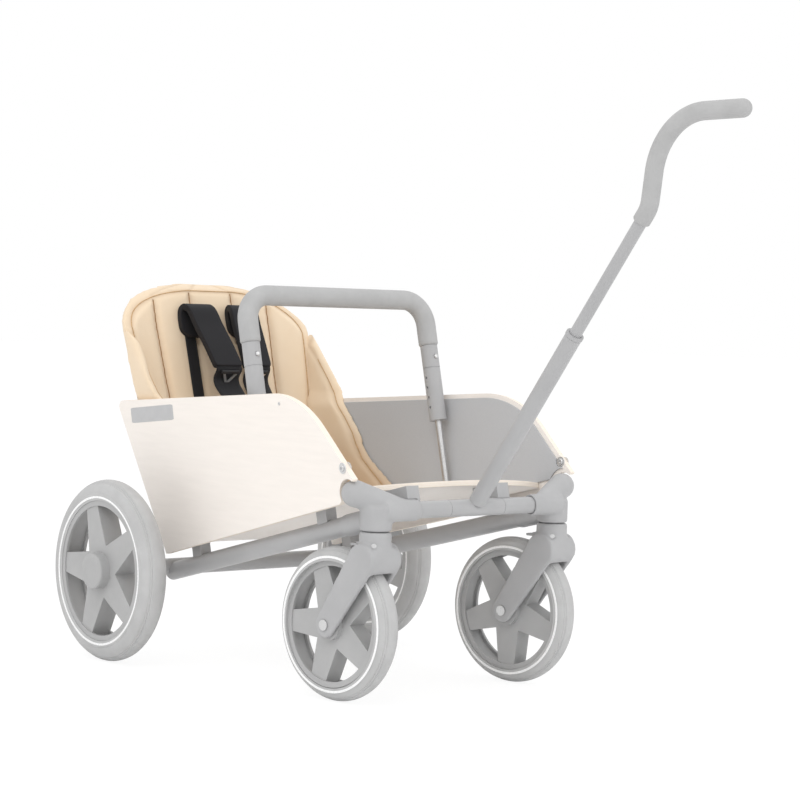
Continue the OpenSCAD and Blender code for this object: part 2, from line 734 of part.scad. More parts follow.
// Outline of all the spokes: a star that widens towards the hub
module spoke_star(hub_r, to, root_w) {
    root = root_w / 2;
    tip = spoke_tip_w / 2;
    for (i = [0 : spoke_count - 1]) rotate([0, 0, 90 + 360 / spoke_count * i])
        polygon([[0, -root], [hub_r, -root], [to, -tip], [to, tip], [hub_r, root], [0, root]]);
}

module wheel_rim(w, ring_d, hub_d, hub_w, bore_d, root_w) {
    outer = tyre_bore_r(ring_d) - fit;
    inner = outer - rim_wall;
    rim_w = w - 2 * rim_inset;
    difference() {
        union() {
            rotate_extrude() {
                translate([inner, -rim_w / 2]) square([rim_wall, rim_w]);
                for (side = [right, left])
                    translate([outer - rim_lip, side * (rim_w - rim_lip_w) / 2 - rim_lip_w / 2])
                        square([rim_lip, rim_lip_w]);
            }
            translate([0, 0, -hub_w / 2]) cylinder(h = hub_w, d = hub_d);
            translate([0, 0, spoke_inset - rim_w / 2]) linear_extrude(height = rim_w - 2 * spoke_inset)
                spoke_star(hub_d / 2, inner + rim_wall / 2, root_w);
        }
        for (flip = [0, 1]) mirror([0, 0, flip]) translate([0, 0, hub_w / 2 - bearing_w - fit])
            cylinder(h = bearing_w + fit + overrun, d = bearing_d + 2 * fit);
        translate([0, 0, -hub_w / 2 - overrun])
            cylinder(h = hub_w + 2 * overrun, d = bore_d + 2 * hub_bore_gap);
    }
}

module wheel_bearings(hub_w, bore_d) {
    for (flip = [0, 1]) mirror([0, 0, flip]) translate([0, 0, hub_w / 2 - bearing_w])
        difference() {
            cylinder(h = bearing_w, d = bearing_d);
            translate([0, 0, -overrun]) cylinder(h = bearing_w + 2 * overrun, d = bore_d + 2 * run_gap);
        }
}

module rear_rim(side) {
    color("#b2b2b2") at_rear_wheel(side)
        wheel_rim(rear_tyre_w, rear_ring_d, rear_hub_d, rear_hub_w, axle_d, rear_spoke_root_w);
}

module rear_tyre(side) {
    color("#b6b6b6") at_rear_wheel(side) wheel_tyre(rear_wheel_d, rear_tyre_w, rear_ring_d);
}

module rear_rings(side) {
    color("white") at_rear_wheel(side) wheel_rings(rear_wheel_d, rear_tyre_w, rear_ring_d);
}

module rear_bearings(side) {
    color("#c4c4c4") at_rear_wheel(side) wheel_bearings(rear_hub_w, axle_d);
}

module rear_hub_cap(side) {
    color("#b0b0b0") at_rear_wheel(side) translate([0, 0, rear_hub_w / 2]) difference() {
        union() {
            cylinder(h = cap_t / 2, d = rear_hub_d);
            translate([0, 0, cap_t / 2]) cylinder(h = cap_t / 2, d1 = rear_hub_d, d2 = rear_hub_d - cap_t);
        }
        translate([0, 0, -overrun]) cylinder(h = cap_t - cap_wall + overrun, d = axle_d + 2 * hub_bore_gap);
    }
}

module front_rim(side) {
    color("#b2b2b2") at_front_wheel(side)
        wheel_rim(front_tyre_w, front_ring_d, front_hub_d, front_hub_w, front_axle_d, front_spoke_root_w);
}

module front_tyre(side) {
    color("#b6b6b6") at_front_wheel(side) wheel_tyre(front_wheel_d, front_tyre_w, front_ring_d);
}

module front_rings(side) {
    color("white") at_front_wheel(side) wheel_rings(front_wheel_d, front_tyre_w, front_ring_d);
}

module front_bearings(side) {
    color("#c4c4c4") at_front_wheel(side) wheel_bearings(front_hub_w, front_axle_d);
}

// Casters, drawn around the swivel axis

fork_half = fork_gap / 2 + fork_leg_t;
lock_x = -head_d / 2 - lock_out;
lock_z = joint_z - lock_drop;

// One leg's round bar, between the leg's two faces
module leg_rod(flip, x, z, r) {
    cross_rod(x, z, flip * fork_half - (flip + 1) / 2 * fork_leg_t,
        flip * fork_half - (flip - 1) / 2 * fork_leg_t, 2 * r, $fn = 32);
}

// Places on the flat seats of the two screws in the fork's head
module at_head_screw(flip) {
    rotate([0, 0, flip * screw_turn]) translate([head_d / 2 - screw_seat, 0, joint_z - screw_drop])
        rotate([0, 90, 0]) children();
}

module caster_fork(side) {
    head_z = joint_z - crown_h;
    leg_top_z = joint_z - fork_top_drop;
    axle_z = front_wheel_d / 2;
    color("#b4b4b4") at_caster(side) difference() {
        union() {
            translate([0, 0, head_z]) cylinder(h = crown_h - joint_gap / 2, d = head_d);
            hull() {
                cross_rod(0, leg_top_z, -fork_half, fork_half, 2 * fork_top_r, $fn = 32);
                translate([0, 0, leg_top_z]) cylinder(h = fork_top_drop / 2, d = head_d, $fn = 32);
            }
            for (flip = [right, left]) hull() {
                leg_rod(flip, 0, leg_top_z, fork_top_r);
                leg_rod(flip, -caster_trail, axle_z, fork_foot_r);
            }
            translate([lock_x - lock_barrel_d / 2, -lug_w / 2, lock_z - lug_h / 2])
                cube([lock_out + lock_barrel_d, lug_w, lug_h]);
        }
        cross_rod(-caster_trail, axle_z, -fork_half - overrun, fork_half + overrun, front_axle_d + 2 * fit);
        cross_rod(-caster_trail, axle_z, -fork_gap / 2, fork_gap / 2, front_wheel_d + 2 * tyre_gap);
        translate([0, 0, joint_z - stem_in_fork - fit]) cylinder(h = crown_h, d = stem_d + 2 * fit);
        translate([lock_x - lock_barrel_d, -lock_w / 2 - run_gap, lock_z - lug_h])
            cube([lock_out + lock_barrel_d * 3 / 2 - fit, lock_w + 2 * run_gap, 2 * lug_h]);
        cross_rod(lock_x, lock_z, -lug_w, lug_w, lock_pin_d + 2 * run_gap);
        for (flip = [right, left]) at_head_screw(flip) cylinder(h = fork_half, d = screw_d + 2 * fit);
    }
}

module caster_stem(side) {
    color("#d0d0d0") at_caster(side) translate([0, 0, joint_z - stem_in_fork])
        cylinder(h = stem_in_fork + stem_in_head, d = stem_d);
}

// Axle bolt with its two heads, and two screws in the fork's head
module caster_bolts(side) {
    axle_z = front_wheel_d / 2;
    color("#c0c0c0") at_caster(side) {
        cross_rod(-caster_trail, axle_z, -fork_half, fork_half, front_axle_d);
        for (flip = [right, left]) {
            cross_rod(-caster_trail, axle_z, flip * fork_half + (flip - 1) / 2 * bolt_head_h,
                flip * fork_half + (flip + 1) / 2 * bolt_head_h, axle_head_d);
            at_head_screw(flip) translate([0, 0, fit]) cylinder(h = screw_h, d = screw_d);
        }
    }
}

module swivel_lock(side) {
    color("#a0a0a0") at_caster(side) {
        cross_rod(lock_x, lock_z, -lock_w / 2, lock_w / 2, lock_barrel_d);
        cross_rod(lock_x, lock_z, -lug_w / 2, lug_w / 2, lock_pin_d);
        translate([lock_x - lock_l, -lock_w / 2, lock_z - lock_t / 2]) cube([lock_l, lock_w, lock_t]);
    }
}

// Pull handle

module at_handle() {
    translate([cross_x, 0, cross_z]) rotate([0, 90 - handle_rise, 0]) children();
}

module handle_lower_tube() {
    color("#b0b0b0") difference() {
        union() {
            cross_rod(cross_x, cross_z, -hub_half, hub_half, cross_tube_d);
            at_handle() cylinder(h = lower_tube_l, d = lower_tube_d);
        }
        cross_rod(cross_x, cross_z, -hub_half - overrun, hub_half + overrun, pivot_d + 2 * run_gap);
        at_handle() translate([0, 0, hub_floor])
            cylinder(h = lower_tube_l, d = lower_tube_d - 2 * lower_tube_wall);
    }
}

module handle_collar() {
    color("#a4a4a4") at_handle() translate([0, 0, lower_tube_l - collar_l]) difference() {
        union() {
            cylinder(h = collar_l, d = lower_tube_d - 2 * lower_tube_wall - 2 * fit);
            translate([0, 0, collar_l]) cylinder(h = collar_lip_h, d = collar_lip_d);
        }
        translate([0, 0, -overrun])
            cylinder(h = collar_l + collar_lip_h + 2 * overrun, d = upper_tube_d + 2 * run_gap);
    }
}

module handle_upper_tube() {
    start = lower_tube_l - upper_overlap;
    color("#b4b4b4") at_handle() translate([0, 0, start]) difference() {
        cylinder(h = grip_start + grip_bore_l - start, d = upper_tube_d);
        translate([0, 0, -overrun]) cylinder(h = grip_start - start, d = upper_tube_d - 2 * tube_wall);
    }
}

// Middle line of the grip in the handle's frame: x and z of each ring and its heading from the tube's axis
function grip_arc(start, from, to, r, n) =
    let (bend = sign(to - from), centre = start + bend * r * [cos(from), -sin(from)])
    [for (i = [0 : n]) let (h = from + (to - from) * i / n)
        concat(centre - bend * r * [cos(h), -sin(h)], [h])];
grip_low = grip_arc([0, grip_foot_l], 0, -grip_lift, grip_lift_r, grip_low_rings);
grip_low_end = [grip_low[grip_low_rings][0], grip_low[grip_low_rings][1]];
grip_high = grip_arc(grip_low_end + grip_middle_l * [-sin(grip_lift), cos(grip_lift)], -grip_lift,
    handle_rise, grip_top_r, grip_high_rings);
grip_line = concat([[0, 0, 0]], grip_low, grip_high);
grip_tip = [grip_high[grip_high_rings][0], grip_high[grip_high_rings][1]];

// The bent part of the grip: rings of points along its middle line, closed at both ends
module grip_bend() {
    last = len(grip_line) - 1;
    rings = concat([for (i = [0 : last]) concat(grip_line[i], [grip_d / 2 - (i == last ? fit : 0)])],
        [concat(grip_tip + grip_sink * [sin(handle_rise), cos(handle_rise)],
            [handle_rise, grip_d / 2 - fit])]);
    n = grip_sides;
    points = [for (r = rings, k = [0 : n - 1]) let (a = 360 * k / n)
        [r[0] + r[3] * cos(a) * cos(r[2]), r[3] * sin(a), r[1] - r[3] * cos(a) * sin(r[2])]];
    sides = [for (i = [0 : len(rings) - 2], k = [0 : n - 1])
        let (a = i * n + k, b = i * n + (k + 1) % n) each [[a, b + n, b], [a, a + n, b + n]]];
    ends = [[for (k = [0 : n - 1]) k], [for (k = [n - 1 : -1 : 0]) (len(rings) - 1) * n + k]];
    polyhedron(points, concat(sides, ends));
}

module handle_grip() {
    color("#b8b8b8") at_handle() translate([0, 0, grip_start]) difference() {
        union() {
            grip_bend();
            translate([grip_tip[0], 0, grip_tip[1]]) rotate([0, handle_rise, 0]) {
                cylinder(h = grip_end_l, d = grip_d);
                translate([0, 0, grip_end_l]) sphere(d = grip_d);
            }
        }
        translate([0, 0, -overrun]) cylinder(h = grip_bore_l + fit + overrun, d = upper_tube_d + 2 * fit);
    }
}

// Grab bar, drawn in a plane that stands on the floor

module at_bar() {
    on_floor() translate([bar_x, 0, 0]) children();
}

// The bent bar from one leg's foot to the other's
module bar_path(from_h, d) {
    leg = bar_h - bar_bend_r - from_h;
    top = 2 * (bar_y - bar_bend_r);
    translate([0, bar_y, from_h]) rotate([0, 0, -90])
        run(leg, d) turn(bar_bend_r, 90, d) run(top, d) turn(bar_bend_r, 90, d) run(leg, d);
}

tube_foot_h = sleeve_low_h + sleeve_cap + fit;

module bar_tube() {
    color("#a8a8a8") at_bar() difference() {
        bar_path(tube_foot_h, bar_tube_d);
        bar_path(tube_foot_h - overrun, bar_tube_d - 2 * bar_wall);
        for (side = [right, left]) translate([0, side * bar_y, button_h]) rotate([0, 90, 0])
            cylinder(h = sleeve_d, d = button_d + 2 * run_gap);
    }
}

module bar_foam() {
    color("#b6b6b6") at_bar() difference() {
        bar_path(foam_end_h, foam_d);
        bar_path(foam_end_h - overrun, bar_tube_d + 2 * fit);
    }
}

// Leg sleeves with a guide at the foot, a seam, a button hole and adjusting holes on the inner side
module leg_sleeves() {
    sleeve_l = foam_end_h - fit - sleeve_low_h;
    color("#adadad") at_bar() for (side = [right, left]) translate([0, side * bar_y, 0]) difference() {
        translate([0, 0, sleeve_low_h]) cylinder(h = sleeve_l, d = sleeve_d);
        translate([0, 0, sleeve_low_h + sleeve_cap]) cylinder(h = sleeve_l, d = bar_tube_d + 2 * fit);
        translate([0, 0, sleeve_low_h - overrun]) cylinder(h = sleeve_l, d = rod_d + 2 * run_gap);
        translate([0, 0, sleeve_seam_h - seam_w / 2]) difference() {
            cylinder(h = seam_w, d = sleeve_d + overrun);
            translate([0, 0, -overrun]) cylinder(h = seam_w + 2 * overrun, d = sleeve_d - 2 * seam_depth);
        }
        translate([0, 0, button_h]) rotate([0, 90, 0]) cylinder(h = sleeve_d, d = button_d + 2 * run_gap);
        for (i = [1 : hole_count]) translate([0, 0, sleeve_seam_h - i * hole_pitch]) rotate([90 * side, 0, 0])
            cylinder(h = sleeve_d, d = hole_d);
    }
}

module bar_button(side) {
    bore_r = bar_tube_d / 2 - bar_wall;
    flange_x = sqrt(pow(bore_r, 2) - pow(button_flange_d / 2, 2)) - run_gap - button_flange_t;
    color("#dcdcdc") at_bar() translate([flange_x, side * bar_y, button_h]) rotate([0, 90, 0]) {
        cylinder(h = button_flange_t, d = button_flange_d);
        cylinder(h = sleeve_d / 2 + button_stand - flange_x, d = button_d);
    }
}

// Steel rods with their floor sockets
module bar_rods() {
    reach = rod_d / 2 + rod_side_gap - run_gap - socket_d / 2 * tan(panel_toe);
    color("#d8d8d8") for (side = [right, left]) on_side(side) at_bar() translate([0, bar_y, 0]) {
        cylinder(h = rod_h, d = rod_d);
        intersection() {
            cylinder(h = socket_h, d1 = socket_d, d2 = socket_d - socket_h);
            translate([-socket_d, -socket_d, 0]) cube([2 * socket_d, socket_d + reach, socket_h]);
        }
    }
}

// Seat

// Rear face of the seat back at a height: it lies on the rear panel and stands up above it
function seat_rear_x(z) = z < rear_panel_z
    ? rear_edge_x(z) + (panel_t + seat_gap) / cos(panel_rear_lean)
    : seat_rear_x(rear_panel_z - fit) - tan(seat_lean) * (z - rear_panel_z);
seat_wide_half = inner_y(seat_rear_x(seat_wide_z), seat_wide_z) - felt_t - seat_gap;
seat_foot_x = seat_rear_x(floor_z(floor_rear_x));
seat_low_z = floor_z(seat_foot_x + seat_wrap + seat_back_t) + seat_gap;

// Rows of the seat back, from the floor to its round top: height, half width, the half width that its
// seams follow, and the share of the round top that is left
seat_rows = concat(
    [for (i = [0 : seat_lower_rows])
        let (z = seat_low_z + (seat_wide_z - seat_low_z) * i / seat_lower_rows,
             half = inner_y(seat_rear_x(z), z) - felt_t - seat_gap)
        [z, half, half, 1]],
    [for (i = [1 : seat_upper_rows]) let (a = seat_upper_turn * i / seat_upper_rows)
        [seat_wide_z + (seat_top_z - seat_wide_z) * sin(a) / sin(seat_upper_turn),
         seat_wide_half * pow(cos(a), seat_top_power), seat_wide_half, 1 - i / seat_upper_rows]]);
seat_cols = concat([for (k = [len(seat_col_shares) - 1 : -1 : 1]) -seat_col_shares[k]], seat_col_shares);

// Place across the seat of a column: the seams run straight, and the outer columns follow the outline
function seam_y(k, half, wide) = min(seat_seam_shares[k] * wide, seat_seam_limit_shares[k] * half);
function seat_y(s, half, wide) = sign(s) * lookup(abs(s), [[0, 0],
    [seat_seam_shares[0], seam_y(0, half, wide)], [seat_seam_shares[1], seam_y(1, half, wide)], [1, half]]);

// How far the seat back has come forward at a distance from the middle
function wrap_x(y, wide) =
    let (start = seat_seam_shares[1], share = max(0, (abs(y) / wide - start) / (1 - start)))
    seat_wrap * pow(share, 2);

function seat_thickness(s, top_share) =
    let (swell = edge_round(1 - abs(s), seat_side_round_share) * edge_round(top_share, seat_round_share),
         seam = len([for (c = seat_seam_shares) if (abs(abs(s) - c) < seat_seam_tolerance) c]))
    seat_edge_t + (seat_back_t - seat_edge_t) * swell - seam * seat_channel * swell;

module seat_back() {
    rear = [for (r = seat_rows) [for (s = seat_cols) let (y = seat_y(s, r[1], r[2]))
        [seat_rear_x(r[0]) + wrap_x(y, r[2]), y, r[0]]]];
    front = [for (i = [0 : len(seat_rows) - 1]) [for (j = [0 : len(seat_cols) - 1])
        rear[i][j] + [seat_thickness(seat_cols[j], seat_rows[i][3]), 0, 0]]];
    color("#e8d4b8") grid_solid(front, rear);
}

// Place along the panel of the seat back's front, at a height in the panel
function wing_rear_u(v) = seat_rear_x(box_rear_z + v * cos(panel_splay)) + seat_wrap + seat_edge_t
    + wing_back_gap - floor_rear_x;
function wing_front_u(v) = min(lookup(v, wing_edge), (v - panel_skirt - 2 * seat_gap) / tan(floor_slope));

module seat_wing(side) {
    outer = -felt_t - seat_gap;
    grid = [for (face = [0, 1]) [for (i = [0 : wing_rows])
        let (v = wing_low_v + (wing_top_v - wing_low_v) * i / wing_rows)
        [for (j = [0 : wing_cols])
            let (u = wing_rear_u(v) + max(0, wing_front_u(v) - wing_rear_u(v)) * j / wing_cols,
                 swell = edge_round(1 - j / wing_cols, seat_side_round_share)
                     * edge_round(1 - i / wing_rows, seat_round_share),
                 t = wing_edge_t + (wing_t - wing_edge_t) * swell)
            [u, outer - face * t, v]]]];
    color("#e2cba6") on_side(side) on_panel() grid_solid(grid[1], grid[0]);
}

function base_half(x) =
    let (world_x = x * cos(floor_slope)) inner_y(world_x, floor_z(world_x)) - felt_t - 2 * seat_gap - wing_t;

function seat_base_start() = (seat_foot_x + seat_back_t + base_back_gap) / cos(floor_slope);

module seat_base() {
    start = seat_base_start();
    grid = [for (face = [0, 1]) [for (i = [0 : base_rows])
        let (x = start + (seat_base_front - start) * i / base_rows)
        [for (j = [0 : base_cols])
            let (s = 2 * j / base_cols - 1,
                 swell = edge_round(1 - abs(s), 2 * seat_round_share)
                     * edge_round(min(i, base_rows - i) / base_rows, 2 * seat_round_share))
            [x, s * base_half(x), seat_gap + face * (base_edge_t + (seat_base_t - base_edge_t) * swell)]]]];
    color("#e8d4b8") on_floor() grid_solid(grid[1], grid[0]);
}

// Harness

function seat_front_x(z) = seat_rear_x(z) + seat_back_t;
function pad_point(out, drop) = [seat_front_x(pad_top_z - drop) + out, pad_track / 2, pad_top_z - drop];
pad_loop_mid = (pad_loop + pad_t / 2 + seat_gap) / 2;
pad_path = [pad_point(pad_t / 2 + seat_gap, pad_fold), pad_point(pad_t / 2 + seat_gap, pad_rest),
    pad_point((pad_t / 2 + seat_gap + pad_loop_mid) / 2, pad_lift), pad_point(pad_loop_mid, 0),
    pad_point(pad_loop, pad_turn), pad_point(pad_loop + (pad_foot_out - pad_loop) / 4, pad_drop / 3),
    pad_point(pad_loop + (pad_foot_out - pad_loop) * 2 / 3, pad_drop * 2 / 3),
    pad_point(pad_foot_out, pad_drop)];
pad_foot = pad_path[len(pad_path) - 1];
pad_hang = (pad_foot - pad_path[len(pad_path) - 2]) / norm(pad_foot - pad_path[len(pad_path) - 2]);
buckle_x = (seat_base_start() + seat_base_front) / 2;
buckle_low = seat_base_t + 2 * seat_gap;

module harness_pads() {
    color("#242328") for (side = [right, left]) on_side(side) strap(pad_path, pad_w, pad_t);
}

// Straps from the adjusters to the buckle, and straps from under the pads' folds down the seat back
module harness_webbing() {
    start = pad_foot + pad_hang * (adjuster_l + 2 * fit);
    buckle_mid = buckle_low + buckle_t / 2;
    end = [buckle_x * cos(floor_slope) - (buckle_low + buckle_t) * sin(floor_slope) - buckle_d / 2 - web_t,
        web_end_y, floor_rear_z + buckle_x * sin(floor_slope) + buckle_mid * cos(floor_slope)];
    top_z = pad_top_z - pad_fold - pad_t / 4 - fit;
    low_z = end[2] + seat_base_t;
    color("#1c1b20") for (side = [right, left]) on_side(side) {
        strap([start, start + (end - start) / 3, start + (end - start) * 2 / 3, end], web_w, web_t);
        strap([for (i = [0 : web_rows]) let (z = top_z - (top_z - low_z) * i / web_rows)
            [seat_front_x(z) + web_t / 2 + seat_gap, pad_track / 2, z]], web_w, web_t);
    }
}

// Adjusters under the pads and the buckle on the seat base
module harness_hardware() {
    middle = pad_foot + pad_hang * (adjuster_l / 2 + fit);
    color("#2a292e") {
        for (side = [right, left]) on_side(side)
            translate(middle) rotate([0, atan2(pad_hang[0], pad_hang[2]), 0])
                cube([adjuster_t, adjuster_w, adjuster_l], center = true);
        on_floor() translate([buckle_x, 0, buckle_low]) cylinder(h = buckle_t, d = buckle_d);
    }
}

place() front_tube(right);  // front_tube_right
place() front_tube(left);  // front_tube_left
place() handle_pivot_shaft();
place() corner_joint(right);  // corner_joint_right
place() corner_joint(left);  // corner_joint_left
place() side_rail(right);  // side_rail_right
place() side_rail(left);  // side_rail_left
place() rear_axle_beam();
place() rear_axle_shaft();
place() floor_clips();
place() floor_panel();
place() side_panel(right);  // side_panel_right
place() side_panel(left);  // side_panel_left
place() rear_panel();
place() felt_liner(right);  // felt_liner_right
place() felt_liner(left);  // felt_liner_left
place() panel_bolts();
place() rear_rim(right);  // rear_rim_right
place() rear_tyre(right);  // rear_tyre_right
place() rear_rings(right);  // rear_rings_right
place() rear_bearings(right);  // rear_bearings_right
place() rear_hub_cap(right);  // rear_hub_cap_right
place() rear_rim(left);  // rear_rim_left
place() rear_tyre(left);  // rear_tyre_left
place() rear_rings(left);  // rear_rings_left
place() rear_bearings(left);  // rear_bearings_left
place() rear_hub_cap(left);  // rear_hub_cap_left
place() caster_fork(right);  // caster_fork_right
place() caster_stem(right);  // caster_stem_right
place() caster_bolts(right);  // caster_bolts_right
place() swivel_lock(right);  // swivel_lock_right
place() caster_fork(left);  // caster_fork_left
place() caster_stem(left);  // caster_stem_left
place() caster_bolts(left);  // caster_bolts_left
place() swivel_lock(left);  // swivel_lock_left
place() front_rim(right);  // front_rim_right
place() front_tyre(right);  // front_tyre_right
place() front_rings(right);  // front_rings_right
place() front_bearings(right);  // front_bearings_right
place() front_rim(left);  // front_rim_left
place() front_tyre(left);  // front_tyre_left
place() front_rings(left);  // front_rings_left
place() front_bearings(left);  // front_bearings_left
place() handle_lower_tube();
place() handle_collar();
place() handle_upper_tube();
place() handle_grip();
place() bar_tube();
place() bar_foam();
place() leg_sleeves();
place() bar_button(right);  // bar_button_right
place() bar_button(left);  // bar_button_left
place() bar_rods();
place() seat_back();
place() seat_base();
place() seat_wing(right);  // seat_wing_right
place() seat_wing(left);  // seat_wing_left
place() harness_pads();
place() harness_webbing();
place() harness_hardware();
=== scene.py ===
"""Dresses a stroller wagon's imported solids: frame, box, wheels, handle, grab bar, sewn seat and harness."""

import json
import math

import bmesh
import bpy
from bpy.props import FloatProperty, FloatVectorProperty, IntProperty, PointerProperty
from mathutils import Matrix, Vector, noise
from mathutils.bvhtree import BVHTree

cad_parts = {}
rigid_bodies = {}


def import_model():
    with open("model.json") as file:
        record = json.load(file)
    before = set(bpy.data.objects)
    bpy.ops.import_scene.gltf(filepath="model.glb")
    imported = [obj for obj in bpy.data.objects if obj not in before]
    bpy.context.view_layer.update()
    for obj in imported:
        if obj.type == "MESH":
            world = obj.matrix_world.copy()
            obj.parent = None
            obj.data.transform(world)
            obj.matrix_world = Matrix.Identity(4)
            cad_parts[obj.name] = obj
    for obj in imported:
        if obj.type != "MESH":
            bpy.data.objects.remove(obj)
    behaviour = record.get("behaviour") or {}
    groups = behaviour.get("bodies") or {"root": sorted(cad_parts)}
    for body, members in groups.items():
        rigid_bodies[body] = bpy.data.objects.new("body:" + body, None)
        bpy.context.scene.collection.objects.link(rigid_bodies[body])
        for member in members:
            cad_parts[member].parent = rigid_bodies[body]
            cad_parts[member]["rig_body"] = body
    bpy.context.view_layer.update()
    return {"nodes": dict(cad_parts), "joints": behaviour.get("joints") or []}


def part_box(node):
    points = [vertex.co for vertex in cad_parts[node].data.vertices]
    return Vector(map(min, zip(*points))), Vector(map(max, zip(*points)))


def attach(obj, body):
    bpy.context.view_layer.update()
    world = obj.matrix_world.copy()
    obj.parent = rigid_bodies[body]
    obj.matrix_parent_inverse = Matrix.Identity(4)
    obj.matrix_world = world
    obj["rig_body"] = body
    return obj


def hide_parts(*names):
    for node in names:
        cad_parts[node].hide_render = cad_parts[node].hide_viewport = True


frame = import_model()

bl_info = {
    "name": "Stroller Wagon",
    "version": (1, 0, 0),
    "blender": (4, 5, 0),
    "location": "View3D > Sidebar > Wagon",
    "description": "Builds the finished pieces of a stroller wagon around its solids",
    "category": "Object",
}

NODES = frame["nodes"]
JOINTS = {joint["name"]: joint for joint in frame["joints"]}
SIDES = {"right": -1.0, "left": 1.0}
UP = Vector((0.0, 0.0, 1.0))
ACROSS = Vector((0.0, 1.0, 0.0))
REARWARD = Vector((-1.0, 0.0, 0.0))
FULL_TURN = 2.0 * math.pi
SMOOTH_ANGLE = math.radians(34.0)
FLAT_ANGLE = math.radians(0.4)
TOUCHING = 1e-6

# The solids' frame starts at the part's middle, so places measured from the rear axle move by this much
REAR_AXLE_X = Vector(JOINTS["rear_spin_right"]["pos_m"]).x

# Frame of the left side panel, as the solids have it: toe in plan, splay, and its rear lower inner corner
PANEL_TOE = math.radians(3.2)
PANEL_SPLAY = math.radians(5.4)
PANEL_CORNER = Vector((REAR_AXLE_X + 0.020, 0.183, 0.18619))
PANEL_THICKNESS = 0.010
BAR_AXIS = Vector(JOINTS["grab_bar_height"]["axis"])
FLOOR_SLOPE = math.atan2(-BAR_AXIS.x, BAR_AXIS.z)
FLOOR_RUN = Vector((math.cos(FLOOR_SLOPE), 0.0, math.sin(FLOOR_SLOPE)))
FLOOR_START = Vector((REAR_AXLE_X, 0.0, 0.210))
REAR_LEAN = math.radians(28.0)
REAR_NORMAL = Vector((math.cos(REAR_LEAN), 0.0, math.sin(REAR_LEAN)))


def srgb(red, green, blue):
    """Linear colour of a display colour given in 0 to 255."""
    def linear(value):
        share = value / 255.0
        return share / 12.92 if share <= 0.04045 else ((share + 0.055) / 1.055) ** 2.4
    return (linear(red), linear(green), linear(blue))


def colour_property(label, words, default):
    """A colour that a user may change."""
    return FloatVectorProperty(name=label, description=words, subtype="COLOR", size=3, min=0.0, max=1.0,
                               default=default)


def length_property(label, words, default):
    """A length that a user may change."""
    return FloatProperty(name=label, description=words, default=default, min=0.0, unit="LENGTH")


class WagonSizes(bpy.types.PropertyGroup):
    """Sizes of the finishing detail."""

    edge_round: length_property("Edge round", "Rounding of moulded edges", 0.0012)
    board_round: length_property("Board round", "Rounding of the boards' edges", 0.0018)
    tread_groove: length_property("Tread groove", "Depth of the grooves round a tyre", 0.0013)
    rear_tyre_width: length_property("Rear tyre width", "Width of a rear tyre", 0.050)
    front_tyre_width: length_property("Front tyre width", "Width of a front tyre", 0.044)
    rear_ring: length_property("Rear ring", "Radius of the white ring on a rear wheel", 0.1295)
    front_ring: length_property("Front ring", "Radius of the white ring on a front wheel", 0.1085)
    ring_width: length_property("Ring width", "Width of the white rings", 0.0040)
    foam_radius: length_property("Foam radius", "Radius of the bar's foam", 0.0175)
    grip_radius: length_property("Grip radius", "Radius of the handle's grip", 0.0140)
    moulding_voxel: length_property("Moulding voxel", "Mesh size of the moulded joints", 0.0018)
    cloth_voxel: length_property("Cloth voxel", "Mesh size of the padded pieces", 0.0050)
    seat_swell: length_property("Seat swell", "How far the padding may swell", 0.0035)
    channel_depth: length_property("Channel depth", "Depth of the sewn channels", 0.0026)
    channel_width: length_property("Channel width", "Half width of the sewn channels", 0.0060)
    thread_radius: length_property("Thread radius", "Radius of the seams' thread", 0.0008)
    pad_width: length_property("Pad width", "Width of a shoulder pad", 0.060)
    pad_thickness: length_property("Pad thickness", "Thickness of a shoulder pad", 0.012)
    web_width: length_property("Webbing width", "Width of the straps on the seat back", 0.023)
    web_thickness: length_property("Webbing thickness", "Thickness of the harness webbing", 0.0018)
    round_steps: IntProperty(name="Round steps", description="Steps of a full turn", default=128, min=24)


class WagonColours(bpy.types.PropertyGroup):
    """Colours of the finishes."""

    frame_grey: colour_property("Frame grey", "Satin paint of the tubes", srgb(175, 175, 176))
    plastic_grey: colour_property("Plastic grey", "Moulded joints, forks and sleeves", srgb(175, 175, 176))
    rim_grey: colour_property("Rim grey", "Moulded wheels", srgb(176, 176, 176))
    tyre_grey: colour_property("Tyre grey", "Tyres", srgb(190, 190, 190))
    ring_white: colour_property("Ring white", "Rings on the wheels", srgb(250, 250, 250))
    board_cream: colour_property("Board cream", "Lacquered faces of the boards", srgb(247, 240, 233))
    ply_light: colour_property("Ply light", "Pale layers in the boards' edges", srgb(250, 241, 230))
    ply_dark: colour_property("Ply dark", "Dark layers in the boards' edges", srgb(242, 228, 211))
    felt_grey: colour_property("Felt grey", "Lining of the box", srgb(190, 191, 193))
    foam_grey: colour_property("Foam grey", "Foam of the bar and grip", srgb(178, 178, 178))
    seat_tan: colour_property("Seat tan", "Seat cover", srgb(238, 218, 191))
    seat_shade: colour_property("Seat shade", "Warm shade in the seat cover", srgb(227, 198, 161))
    # The threads' brown, and the colour that the painted shade in the channels and low on the wings goes
    # towards
    thread_and_shade_brown: colour_property("Seam brown", "Thread and depth of the seams", srgb(150, 108, 62))
    seam_tan: colour_property("Seam tan", "Thread of the seat's border and wings", srgb(196, 160, 116))
    harness_black: colour_property("Harness black", "Harness cloth", srgb(14, 13, 18))
    buckle_black: colour_property("Buckle black", "Harness hardware", srgb(30, 30, 33))
    steel: colour_property("Steel", "Rods, axles and screws", srgb(214, 214, 214))
    sticker_grey: colour_property("Sticker grey", "Plain sticker on the side panel", srgb(187, 187, 188))
    studio_white: colour_property("Studio white", "Floor and backdrop", (1.0, 1.0, 1.0))


def sizes():
    """The scene's own sizes."""
    return bpy.context.scene.wagon_sizes


def colours():
    """The scene's own colours."""
    return bpy.context.scene.wagon_colours


# Material building

# Spans in which most values of a fine noise and of a cloudy one lie
NOISE_SPAN = (0.3, 0.7)
CLOUD_SPAN = (0.35, 0.65)


